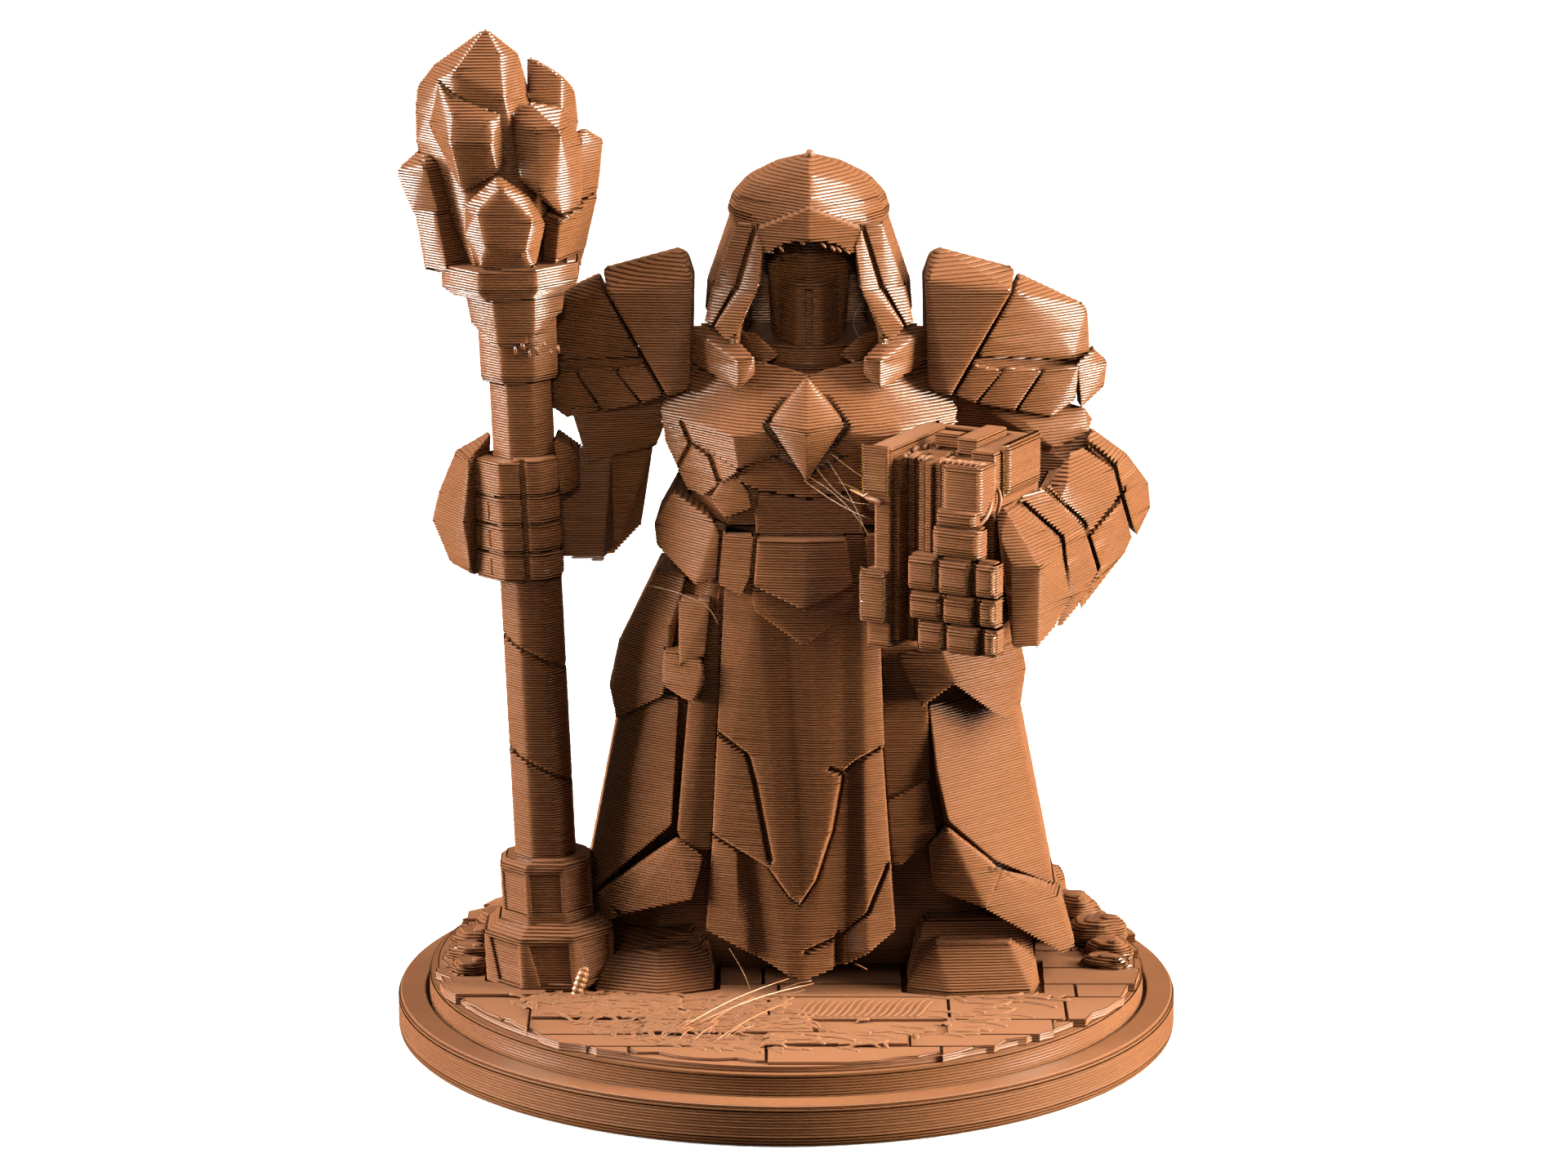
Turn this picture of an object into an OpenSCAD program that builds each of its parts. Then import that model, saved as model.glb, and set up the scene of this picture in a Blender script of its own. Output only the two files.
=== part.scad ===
// Tabletop miniature: a hooded, armoured figure with a crystal-headed staff in one hand
// and a thick book in the other, standing on a round paved base.
// Every piece is a separate solid. Left and right are the figure's own sides.
// The figure faces -Y. The origin is the centre of the underside of the base.

/* [Base] */
// Diameter of the base rim
base_d = 32; // [31:0.5:36]
// Height of the base rim
rim_h = 1.7; // [1.5:0.1:2]
// Width of the ledge between the rim edge and the plinth
ledge_w = 1.3; // [1:0.1:1.6]
// Height of the plinth top above the table
plinth_top = 2.5; // [2.3:0.1:3]
// Gap between neighbouring paving planks
plank_gap = 0.06; // [0.05:0.01:0.12]

/* [Staff] */
// Lean of the staff away from the figure, in degrees
staff_lean = 2.4; // [1.5:0.1:3]
// Width of the octagonal shaft across its flats
shaft_w = 2.46; // [2.2:0.02:2.6]
// Width of the pommel drum across its flats
pommel_w = 5.25; // [4.6:0.05:5.6]
// Width of the cup across its flats
cup_w = 5.4; // [5:0.05:5.6]

/* [Book] */
// Height of the book
book_h = 8; // [7:0.1:8.4]
// Thickness of the book over both covers
book_w = 4.9; // [4.4:0.1:5.2]
// Depth of the book from fore-edge to spine
book_d = 5.2; // [4.8:0.1:5.6]
// Turn of the book about its height, in degrees
book_turn = -28; // [-32:1:-24]

/* [Cracks] */
// Width of the cracks between the stone-like plates of the tabard
crack_w = 0.24; // [0.18:0.02:0.3]
// Width of the seams between the plates of the arm
seam_w = 0.16; // [0.12:0.02:0.2]

/* [Gem] */
// Height of the diamond on the chest
gem_h = 4; // [3.4:0.1:4.4]
// Width of the diamond on the chest
gem_w = 3; // [2.4:0.1:3.2]

/* [Hidden] */

$fn = 96;
mid = 0.9;                              // X of the figure's centre line
plinth_d = base_d - 2 * ledge_w;
recess = 0.5;                           // how far the plinth sits in the rim
bed_top = plinth_top + 0.12;            // top of the mortar bed between planks
plank_h = 0.24;                         // mean height of a plank above the bed
joint_fill = 0.24;                      // depth of the filling between planks, from the plinth top
staff_foot = [-9.55, -2.5, bed_top];    // where the staff axis meets the bed
cup_top = [-10.85, -2.4, 32.1];         // middle of the cup's top face
book_corner = [3.1, -10.5, 18.6];       // bottom front corner nearest the staff
cover = 1.05;                           // thickness of one cover
print_brown = [0.50, 0.29, 0.16];
print_light = [0.58, 0.35, 0.20];
print_dark = [0.40, 0.22, 0.12];

// ---------- helpers ----------

// Convex solid through a list of corner points
module facets(points) {
    hull() polyhedron(points, [[for (i = [0 : len(points) - 1]) i]]);
}

// Plate from its front corners, pushed back along one vector
module plate(front, push = [0, 0.8, 0]) {
    facets(concat(front, [for (p = front) p + push]));
}

// Solid mirrored behind the plane y = 0, where it drops by up to sink for the slope of the shoulder
module both_ways(front, sink = 0.8) {
    facets(concat(front, [for (p = front) [p.x, -p.y, p.z + sink * min(p.y, 0) / 3]]));
}

// The same shape on the other side of the figure
module flip() {
    translate([2 * mid, 0, 0]) mirror([1, 0, 0]) children();
}

// Octagonal drum standing on its local origin, given across its flats
module octagon_drum(width, height, top_width = undef) {
    upper = is_undef(top_width) ? width : top_width;
    flat = cos(22.5);
    rotate([0, 0, 22.5])
        cylinder(h = height, d1 = width / flat, d2 = upper / flat, $fn = 8);
}

// Closed ring of points round a centre, for lofting one convex shell
function oval(z, half_w, front, back, n = 16) = [
    for (i = [0 : n - 1])
        [mid + half_w * cos(360 * i / n),
         (front + back) / 2 + (back - front) / 2 * sin(360 * i / n), z]
];

function flat_list(lists) = [for (l = lists) for (p = l) p];

// Narrow V-shaped cut along a line of points on a front face
module crack(points, width = crack_w) {
    reach = 0.35;
    for (i = [0 : len(points) - 2])
        hull() for (p = [points[i], points[i + 1]])
            translate(p + [0, reach, 0]) rotate([90, 0, 0])
                cylinder(h = 2 * reach, d1 = 0.04, d2 = 2 * width, $fn = 4);
}

// Straight cut along a line of points, open towards the front and as deep as reach
module seam(points, width = seam_w, reach = 0.9) {
    for (i = [0 : len(points) - 2])
        hull() for (p = [points[i], points[i + 1]])
            translate(p + [0, reach, 0]) rotate([90, 0, 0])
                cylinder(h = 2 * reach, d = width, $fn = 6);
}

// Cloth front between neighbouring fold lines, each given by its upper and lower end
module folded(lines, back) {
    for (i = [0 : len(lines) - 2]) {
        front = concat(lines[i], lines[i + 1]);
        facets(concat(front, [for (p = front) [p.x, back, p.z]]));
    }
}

// Prism through the whole figure along Y, from its outline as seen from the front
module front_prism(outline) {
    rotate([90, 0, 0]) linear_extrude(base_d, center = true) polygon(outline);
}

module on_staff() {
    translate(staff_foot) rotate([0, -staff_lean, 0]) children();
}

module on_cup() {
    translate(cup_top) children();
}

module on_book() {
    translate(book_corner) rotate([0, 0, book_turn]) children();
}

// ---------- base ----------

module base_rim() {
    edge = 0.3;
    color(print_brown)
        difference() {
            rotate_extrude()
                polygon(concat(
                    [[0, 0], [base_d / 2 - 0.2, 0], [base_d / 2, 0.2]],
                    [for (a = [0 : 15 : 90])
                        [base_d / 2 - edge + edge * cos(a), rim_h - edge + edge * sin(a)]],
                    [[0, rim_h]]
                ));
            translate([0, 0, rim_h - recess]) cylinder(h = 1, d = plinth_d + 0.3);
        }
}

module base_plinth() {
    color(print_light)
        translate([0, 0, rim_h - recess]) cylinder(h = plinth_top - rim_h + recess, d = plinth_d);
}

// Footprints that the boots, the robe and the staff leave free in the paving
module footprints() {
    translate([0, 0, bed_top]) linear_extrude(1) {
        polygon([[4.7, -5.2], [6.6, -5.85], [10.4, -5.25], [10.5, -1], [4.7, -1]]);
        polygon([[-8, -5], [-5.3, -5.9], [-2.7, -4.8], [-2.7, -1], [-8, -1]]);
        polygon([[-7.6, -1.2], [10.2, -1.2], [10.4, 5], [7, 7.7], [-4.5, 7.7], [-7.8, 5]]);
    }
    on_staff() translate([0, 0, -0.3]) octagon_drum(pommel_w + 0.1, 2);
}

// Disc with a broken outline, as far from the plinth's edge as inset
module ragged_disc(inset, seed) {
    n = 110;
    chips = rands(0, 0.5, n, seed);
    linear_extrude(5)
        polygon([for (i = [0 : n - 1])
            (plinth_d / 2 - inset - chips[i]) * [cos(360 * i / n), sin(360 * i / n)]]);
}

// Planks lie in rows along X; row depth, joints, heights and broken ends vary from plank to plank
module planks() {
    // edges of the rows, as parts of the plinth's radius
    row_edges = [
        -0.96, -0.823, -0.721, -0.592, -0.395, -0.279, -0.129, 0.027, 0.177, 0.306, 0.469, 0.599,
        0.755, 0.94
    ];
    count = 6;
    for (r = [0 : len(row_edges) - 2]) {
        y0 = row_edges[r] * plinth_d / 2 + plank_gap / 2;
        y1 = row_edges[r + 1] * plinth_d / 2 - plank_gap / 2;
        cuts = rands(-1.2, 1.2, count + 1, 43 + r);
        lifts = rands(-0.07, 0.09, count, 90 + r);
        ends = rands(-0.2, 0.6, count, 7 + r);
        for (i = [0 : count - 1]) {
            x0 = (i - count / 2) * base_d / count + cuts[i];
            x1 = (i + 1 - count / 2) * base_d / count + cuts[i + 1];
            intersection() {
                translate([x0 + plank_gap / 2, y0, plinth_top + 0.02])
                    cube([x1 - x0 - plank_gap, y1 - y0, 0.1 + plank_h + lifts[i]]);
                ragged_disc(ends[i], 11 * r + i);
            }
        }
    }
}

module paving() {
    color(print_light)
        difference() {
            union() {
                translate([0, 0, plinth_top]) cylinder(h = joint_fill, d = plinth_d - 0.7);
                planks();
            }
            footprints();
        }
}

// One rounded stone: a squashed ball cut level at the bed
module stone(at, size, turn = 0) {
    translate([at.x, at.y, bed_top + plank_h - 0.02])
        rotate([0, 0, turn])
            intersection() {
                hull() for (s = [0 : 7]) {
                    lift = rands(0.35, 1, 1, 7 + s)[0];
                    translate([size.x * 0.3 * cos(45 * s), size.y * 0.3 * sin(45 * s), size.z * 0.45 * lift])
                        scale([size.x * 0.2, size.y * 0.2, size.z * 0.5]) sphere(1, $fn = 10);
                }
                translate([-5, -5, 0]) cube(10);
            }
}

module rubble_right() {
    color(print_light) {
        stone([-12.9, -2.4], [1.7, 1.5, 0.7], 20);
        stone([-13, -0.6], [2.2, 1.6, 0.8], -10);
        stone([-12.7, 1.2], [2.6, 1.8, 1], 20);
        stone([-11.7, 3], [3, 2.2, 1.3], 35);
        stone([-10.4, 5], [3, 2.6, 1.3], 60);
    }
}

module rubble_left() {
    color(print_light) {
        stone([13.1, -1.6], [2.2, 1.2, 0.6], -20);
        stone([13.3, 0], [2.2, 1.8, 0.8], -30);
        stone([12.9, 1.9], [2.8, 2.2, 1.3], 10);
        stone([11.9, 3.9], [3.2, 2.4, 1.8], -40);
        stone([10.4, 6.2], [3.2, 2.8, 2.3], 25);
    }
}

// ---------- boots and robe ----------

module left_boot() {
    floor_z = bed_top;
    color(print_light)
        difference() {
            union() {
                facets([
                    [4.9, -4.5, floor_z], [10.2, -4.2, floor_z], [10.2, -1.4, floor_z],
                    [4.9, -1.4, floor_z], [5.1, -4.1, 4.1], [10, -3.3, 4.6], [5.65, -3.75, 5.45],
                    [9.2, -3.6, 5.45], [9.9, -1.4, 4.9], [5.5, -1.4, 5.5], [9.1, -1.4, 5.6]
                ]);
                // toe cap
                facets([
                    [4.85, -5, floor_z], [6.6, -5.75, floor_z], [9.9, -5.35, floor_z],
                    [10.35, -3.6, floor_z], [6.6, -5.65, 2.95], [9.9, -5.25, 2.95], [4.85, -4.95, 3],
                    [6.05, -4.75, 4.75], [9.05, -4.6, 4.75], [5.25, -4.3, 4.15], [10.1, -3.9, 4],
                    [6.2, -3.6, 4.85], [9, -3.4, 4.85], [5.3, -3.6, 3.4], [10.1, -3.2, 3.6]
                ]);
            }
            robe_core_shape();
        }
}

module right_boot() {
    floor_z = bed_top;
    color(print_light)
        difference() {
            union() {
                facets([
                    [-7.8, -4.9, floor_z], [-5.3, -5.7, floor_z], [-2.9, -4.6, floor_z],
                    [-2.9, -1.4, floor_z], [-7.8, -1.4, floor_z], [-3.1, -3.5, 3.9], [-4, -3.6, 4.4],
                    [-5.2, -4.1, 4.1],
                    [-7.3, -3.5, 3.9], [-3.2, -1.4, 4.4], [-7.3, -1.4, 4.1]
                ]);
                facets([
                    [-7.2, -3.2, 3.9], [-5.2, -3.5, 4.5], [-3.9, -3.3, 4.8], [-3.2, -3.3, 3.7],
                    [-7, -1.2, 4.7], [-3.6, -1.2, 5], [-7.2, -1.2, 3], [-3.2, -1.2, 3]
                ]);
            }
            robe_core_shape();
        }
}

module robe_core_shape() {
    facets([
        [-2.9, -4.6, 20.2], [4.7, -4.6, 20.2], [5.7, -1.5, 20.2], [-3.9, -1.5, 20.2],
        [4.6, 3.2, 20.2], [-2.8, 3.2, 20.2],
        [-4.9, -2, 18.6], [6.7, -2, 18.6], [-4.6, 2.6, 18.6], [6.4, 2.6, 18.6],
        [-5, -3, 14.5], [7.2, -3, 14.5], [-3, -4.3, 14.5], [5, -4.3, 14.5],
        [-5.6, 3, 14], [7.8, 3, 14],
        [-4, -3.2, 6], [6.4, -3.2, 6], [-7, -1, 7], [10, -1, 7],
        [-7.2, -1.2, bed_top], [9.8, -1.2, bed_top], [-7.4, 5, bed_top], [10, 5, bed_top],
        [-4.3, 7.5, bed_top], [6.8, 7.5, bed_top]
    ]);
}

// Hollow of a fold in the back of the robe, from a point on the back down to the hem
module back_fold(top, foot_x) {
    facets([
        top, [foot_x - 1.2, 7.8, bed_top - 0.1], [foot_x + 1.2, 7.8, bed_top - 0.1],
        [foot_x - 0.2, 6.6, bed_top - 0.1]
    ]);
}

module robe_core() {
    color(print_dark)
        difference() {
            robe_core_shape();
            back_fold([-1.3, 4.3, 15.8], -2.7);
            back_fold([0.3, 4.9, 13.2], 0.1);
            back_fold([1.7, 4.1, 16.6], 2.9);
            back_fold([3.5, 4.8, 13.6], 5.5);
        }
}

module robe_panel_left() {
    color(print_light)
        difference() {
            facets([
                [5.7, -4.4, 14.6], [9.2, -1.2, 14.4], [9.4, 2.2, 14.4], [5.6, 0, 15.4],
                [6, -4.8, 12], [6.5, -5, 10], [8.5, -3.7, 7.9], [10.9, -1.6, 6.3],
                [11, 2.8, 6.3], [9.6, -1.4, 12], [6, 0, 8], [8, 5.8, 9]
            ]);
            robe_core_shape();
        }
}

module robe_panel_right() {
    color(print_light)
        difference() {
            facets([
                [-4.3, -4, 14.8], [-5.2, -3.4, 14.8], [-6.7, -1.6, 14.2], [-6.7, 2, 14.2],
                [-4.6, -4.3, 9.6], [-5.4, -3.8, 9.2], [-8, -1.8, 7.4], [-7.8, -2.6, 6.4],
                [-8.2, 2.8, 6.4], [-5.4, 5.6, 9], [-4.2, 0, 15]
            ]);
            robe_core_shape();
        }
}

module robe_hem_left() {
    color(print_brown)
        difference() {
            union() {
                facets([
                    [5.7, -4.7, 8.9], [6.5, -5, 9.7], [8.7, -4.4, 7.7], [5.9, -4.9, 7.1],
                    [8.1, -5.1, 6.3], [6, -2, 7], [8.5, -2, 6.6], [6.4, -2, 9.4]
                ]);
                facets([
                    [8.6, -4.4, 7.8], [11, -2.7, 6.2], [11.8, -2.8, 4], [11.2, -3.4, 3.9],
                    [8, -5.1, 6.3], [11.2, -1, 6.2], [11.8, -1.4, 4], [8.5, -1.6, 6.6]
                ]);
                facets([
                    [11, -2.2, 6.2], [11.8, -2.4, 4], [11.6, 3, 3.3], [11, 3, 6.2],
                    [9.4, 5.6, 3.2], [9, 5.4, 6.4], [9.6, -1, 4.6], [9, 3, 4]
                ]);
            }
            robe_core_shape();
            robe_panel_left();
        }
}

module robe_hem_right() {
    color(print_brown)
        difference() {
            union() {
                facets([
                    [-7.8, -2.8, 6.2], [-4.4, -4.7, 9.2], [-3.3, -5, 8.5], [-3.8, -5.1, 6.7],
                    [-6.6, -3.8, 5.7], [-7.8, -1, 6], [-4.4, -2, 8.6], [-4, -2, 6.6]
                ]);
                facets([
                    [-7.8, -2.7, 6.3], [-6.8, -3.7, 5.6], [-8.4, -1.4, 4.4], [-8.2, 3, 3.4],
                    [-8.2, 3, 6.2], [-6, 5.6, 3.2], [-5.6, 5.4, 6.4], [-6.6, -1, 5]
                ]);
            }
            robe_core_shape();
            robe_panel_right();
        }
}

module tabard_shape() {
    back = -4.5;
    intersection() {
        folded([
            [[-2.45, -5.35, 20.1], [-3.12, -4.95, 6.5]],
            [[-1.25, -5.9, 20.1], [-0.2, -5.78, 6.5]],
            [[-0.1, -5.8, 20.1], [0.7, -5.7, 6.5]],
            [[0.9, -5.95, 20.1], [1.5, -5.9, 6.5]],
            [[2.3, -5.8, 20.1], [2.5, -5.7, 6.5]],
            [[3, -5.85, 20.1], [3.3, -5.75, 6.5]],
            [[3.65, -5.5, 20.1], [4.2, -5.3, 6.5]]
        ], back);
        front_prism([
            [-3.5, 21], [4.5, 21], [4.5, 13.3], [3.6, 13.1], [2.8, 12.75], [2.25, 12.25], [2.2, 11.75],
            [1.85, 9.75], [1.2, 7.75], [0.55, 6.7], [0.05, 7.05], [-0.75, 8.2], [-2.05, 8.9], [-3.5, 9.6]
        ]);
    }
    folded([
        [[-2.68, -4.9, 13.5], [-3.25, -4.8, 5.35]],
        [[-2.15, -5.25, 13.5], [-1.88, -5.35, 4.75]],
        [[-1.95, -5.1, 13.5], [-1.2, -4.95, 4.3]],
        [[-1.75, -5.2, 13.5], [0.05, -5.5, 3.65]],
        [[0.6, -5.65, 13.5], [0.75, -5.55, 3.45]],
        [[2.5, -5.5, 13.5], [2.45, -5.2, 4.05]],
        [[3.1, -5.65, 13.5], [3.3, -5.45, 4.55]],
        [[3.82, -5.3, 13.5], [4.42, -5, 5.4]]
    ], back);
}

module tabard() {
    color(print_brown)
        difference() {
            tabard_shape();
            robe_core_shape();
            crack([[-2.75, -5.1, 13.7], [-1.55, -5.65, 12.9], [-1.25, -5.7, 11.75], [-0.65, -5.7, 8.5]]);
            crack([
                [-3, -5, 9.4], [-2.05, -5.4, 8.9], [-0.75, -5.65, 8.15], [0.05, -5.75, 7], [0.55, -5.75, 6.6],
                [1.25, -5.8, 7.7], [1.9, -5.75, 9.75], [2.25, -5.7, 11.75], [2.3, -5.7, 12.2],
                [2.85, -5.75, 12.7], [3.7, -5.5, 13.1]
            ]);
            crack([[2.3, -5.7, 12.1], [1.75, -5.8, 12.35]]);
            crack([[4.1, -5.2, 8.2], [3.3, -5.5, 6.25], [2.2, -5.35, 5.25], [0.75, -5.55, 4.65]]);
            crack([[2.1, -5.2, 5.3], [2.1, -5.1, 3.3]], 0.3);
        }
}

module tabard_layer_left() {
    color(print_dark)
        difference() {
            union() {
                plate([
                    [3.6, -4.7, 19.8], [5.3, -4.5, 17], [5.7, -4.5, 14.4], [5.8, -4.4, 11.3],
                    [3.8, -4.6, 10.4]
                ], [0, 1.6, 0]);
                plate([
                    [3.8, -4.8, 10.6], [5.7, -4.6, 11.6], [6.1, -4.5, 9.3], [4.6, -4.7, 8],
                    [3.8, -4.7, 8.2]
                ], [0, 1.8, 0]);
            }
            robe_core_shape();
            tabard_shape();
            robe_panel_left();
            robe_hem_left();
        }
}

module tabard_layer_right() {
    color(print_dark)
        difference() {
            plate([
                [-2.6, -4.8, 19.8], [-3.9, -4.5, 15.2], [-4.4, -4.6, 9.4], [-4, -4.7, 8.7],
                [-2.8, -4.7, 8.6]
            ], [0, 1.6, 0]);
            robe_core_shape();
            tabard_shape();
            robe_panel_right();
            robe_hem_right();
        }
}

// ---------- hips and belt ----------

module hip_plate_left() {
    color(print_light)
        difference() {
            union() {
                facets([
                    [4.4, -5, 16.8], [6.2, -5, 17.2], [6.8, -5.3, 15.8], [5.4, -5.4, 14.8],
                    [4.6, -3.6, 17], [6.6, -3.4, 16.8], [5.6, -3.6, 15]
                ]);
                facets([
                    [6.1, -5, 17.2], [9.3, -2.6, 17.4], [9.7, -2.2, 15.6], [9.5, -2.4, 14.2],
                    [8.8, -3.4, 13.7], [6.7, -5.3, 15.7], [9.3, 1.6, 17], [9.7, 1.6, 15.4],
                    [9.3, 1.4, 14.2], [6.4, -3, 16.2]
                ]);
            }
            robe_core_shape();
            robe_panel_left();
            tabard_layer_left();
        }
}

module hip_plate_right() {
    color(print_light)
        difference() {
            facets([
                [-4, -3.8, 19.85], [-4.2, 1, 19.85], [-5.2, -2.4, 19.7], [-5.1, 1.2, 19.6],
                [-6.8, -1.6, 16.6], [-7.2, -1.5, 14.7], [-6.9, -2.3, 13.5], [-4.9, -4, 14.9],
                [-4.7, -4, 17.8],
                [-7, 1.6, 15], [-6.8, 1.4, 13.8]
            ]);
            robe_core_shape();
            robe_panel_right();
        }
}

module hip_pouch() {
    color(print_brown)
        difference() {
            union() {
                facets([
                    [-4.3, -4.6, 19], [-3, -5.3, 19.2], [-3.2, -5.3, 16.9], [-4.3, -5, 16.4],
                    [-4.3, -3.4, 19], [-3, -3.6, 19.2], [-3.2, -3.8, 16.9], [-4.3, -3.6, 16.4]
                ]);
                facets([
                    [-4.9, -4.5, 17], [-3.3, -5.5, 16.7], [-3.2, -5.4, 15.9], [-3.7, -5.3, 14.9],
                    [-5, -4.4, 15.5], [-3.3, -4, 16.8], [-4.9, -3.4, 17], [-4.8, -3.4, 15.2],
                    [-3.6, -4, 15]
                ]);
            }
            robe_core_shape();
            hip_plate_right();
            tabard_shape();
            robe_panel_right();
            tabard_layer_right();
        }
}

module belt_shape() {
    facets([
        [-2.6, -5.4, 19.9], [4.4, -5.4, 19.9], [5.8, -3, 19.9], [-4, -3, 19.9],
        [5, 3.6, 19.9], [-3.2, 3.6, 19.9], [6, 1, 19.9], [-4.2, 1, 19.9],
        [-2.3, -5.5, 22], [4.1, -5.5, 22], [5.5, -3, 22.2], [-3.7, -3, 22.2],
        [4.7, 3.4, 22.2], [-2.9, 3.4, 22.2], [5.7, 1, 22.2], [-3.9, 1, 22.2]
    ]);
}

module belt() {
    color(print_dark)
        difference() {
            belt_shape();
            robe_core_shape();
            // joints between the plates at the back
            for (x = [-2.1, mid - 0.1, 3.7]) translate([x, 3.3, 19]) cube([0.2, 1, 4]);
        }
}

module belt_plate_centre_shape() {
    facets([
        [-1.15, -6.4, 21.95], [2.35, -6.4, 21.95], [2.65, -6.6, 20.1], [0.7, -7, 19.2],
        [-1.3, -6.6, 20.1], [0.7, -6.6, 21.9],
        [-1.15, -5.3, 22], [2.35, -5.3, 22], [2.65, -5.3, 20], [0.7, -5.3, 19.3], [-1.3, -5.3, 20]
    ]);
}

module belt_plate_centre() {
    color(print_brown)
        difference() {
            belt_plate_centre_shape();
            belt_shape();
            robe_core_shape();
            tabard_shape();
        }
}

module belt_plate_second() {
    color(print_brown)
        difference() {
            facets([
                [-1.4, -6.3, 19.9], [2.8, -6.3, 19.9], [2.5, -6.3, 19], [0.7, -6.6, 17.6],
                [-1.3, -6.3, 19], [-1.4, -5.5, 19.9], [2.8, -5.5, 19.9], [0.7, -5.6, 17.7]
            ]);
            belt_plate_centre_shape();
            tabard_shape();
            belt_shape();
            robe_core_shape();
        }
}

module belt_plate_small_shape() {
    plate([[-2.5, -5.9, 22.1], [-1.3, -6.3, 22], [-1.45, -6.4, 20.4], [-1.8, -6.3, 19.6], [-2.7, -5.9, 20]],
        [0, 1.4, 0]);
}

module belt_plates_small() {
    color(print_light)
        difference() {
            union() {
                belt_plate_small_shape();
                flip() belt_plate_small_shape();
            }
            belt_plate_centre_shape();
            belt_shape();
            robe_core_shape();
            tabard_shape();
        }
}

module belt_plate_large_shape() {
    facets([
        [-4.5, -3.8, 23.3], [-5.3, -3.2, 21.8], [-5.2, -3.4, 21], [-3.6, -5.7, 19.9],
        [-2.75, -5.9, 20.2], [-2.6, -5.9, 22], [-2.8, -5.8, 22.5],
        [-4.3, 0.6, 23.3], [-5.1, 0.8, 21.8], [-5, 0.8, 21], [-4, -1.4, 19.9]
    ]);
}

module belt_plate_right() {
    color(print_light)
        difference() {
            belt_plate_large_shape();
            belt_shape();
            torso_shape();
            robe_core_shape();
            belt_plate_small_shape();
            tabard_shape();
        }
}

module belt_plate_left() {
    color(print_light) flip()
        difference() {
            belt_plate_large_shape();
            belt_shape();
            torso_shape();
            robe_core_shape();
            belt_plate_small_shape();
            tabard_shape();
        }
}

// ---------- torso ----------

module torso_shape() {
    facets([
        [-2.2, -5.2, 22.2], [4, -5.2, 22.2], [5.4, -2.6, 22.2], [-3.6, -2.6, 22.2],
        [4.6, 3.2, 22.2], [-2.8, 3.2, 22.2],
        [-4.2, -3.6, 24.6], [6, -3.6, 24.6], [-1.8, -5.5, 25.4], [3.6, -5.5, 25.4],
        [-4.3, -3, 26.4], [6.1, -3, 26.4], [-4.3, 2.6, 26.4], [6.1, 2.6, 26.4],
        [-2.6, -2.8, 28.2], [4.4, -2.8, 28.2], [-3.4, 2.6, 28.4], [5.2, 2.6, 28.4]
    ]);
}

module torso() {
    color(print_dark)
        difference() {
            torso_shape();
            // joints between the plates of the back
            translate([mid, 3.1, 25.4]) {
                for (turn = [0, 62, -62]) rotate([0, turn, 0]) translate([-0.1, -0.35, 0]) cube([0.2, 1, 6]);
                rotate([0, 180, 0]) translate([-0.1, -0.3, 0]) cube([0.2, 1, 6]);
            }
        }
}

module gem_recess() {
    recess_w = gem_w + 0.5;
    recess_h = gem_h + 0.55;
    translate([0.8, -5.5, 26.3]) rotate([90, 0, 0])
        linear_extrude(3)
            polygon([[0, recess_h / 2], [recess_w / 2, 0.2], [0, -recess_h / 2], [-recess_w / 2, 0.2]]);
}

module chest_plate_shape() {
    facets([
        [mid, -4.8, 28.25], [-1.1, -4, 28.6], [-4, -1.6, 28.2], [-5, -3.6, 26.6],
        [-2.1, -6.4, 26.1], [-0.7, -6.7, 26.35], [mid, -6.4, 26.9],
        [-4.9, -3.6, 26.1], [-1.9, -6.3, 24.75], [-0.7, -6.5, 25.45], [mid, -6.4, 25.9],
        [-4, 0.6, 28], [-4.9, 0.6, 26.2]
    ]);
}

module chest_plate_right() {
    color(print_brown)
        difference() {
            chest_plate_shape();
            flank_joints();
            torso_shape();
            gem_recess();
            neck_ring_shape();
        }
}

module chest_plate_left() {
    color(print_brown)
        difference() {
            flip() chest_plate_shape();
            chest_plate_shape();
            flip() flank_joints();
            torso_shape();
            gem_recess();
            neck_ring_shape();
        }
}

module chest_gem() {
    centre = [0.8, -6.6, 26.5];
    color(print_light)
        difference() {
            facets([
                centre + [0, -1.1, 0], centre + [gem_w / 2, 0, 0.1], centre + [-gem_w / 2, 0, 0.1],
                centre + [0, 0.8, gem_h / 2 - 0.1], centre + [0, 0, -gem_h / 2 - 0.2],
                centre + [gem_w / 2, 1, 0.1], centre + [-gem_w / 2, 1, 0.1],
                centre + [0, 1.6, gem_h / 2 - 0.3], centre + [0, 1.2, -gem_h / 2 - 0.2]
            ]);
            torso_shape();
        }
}

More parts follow.
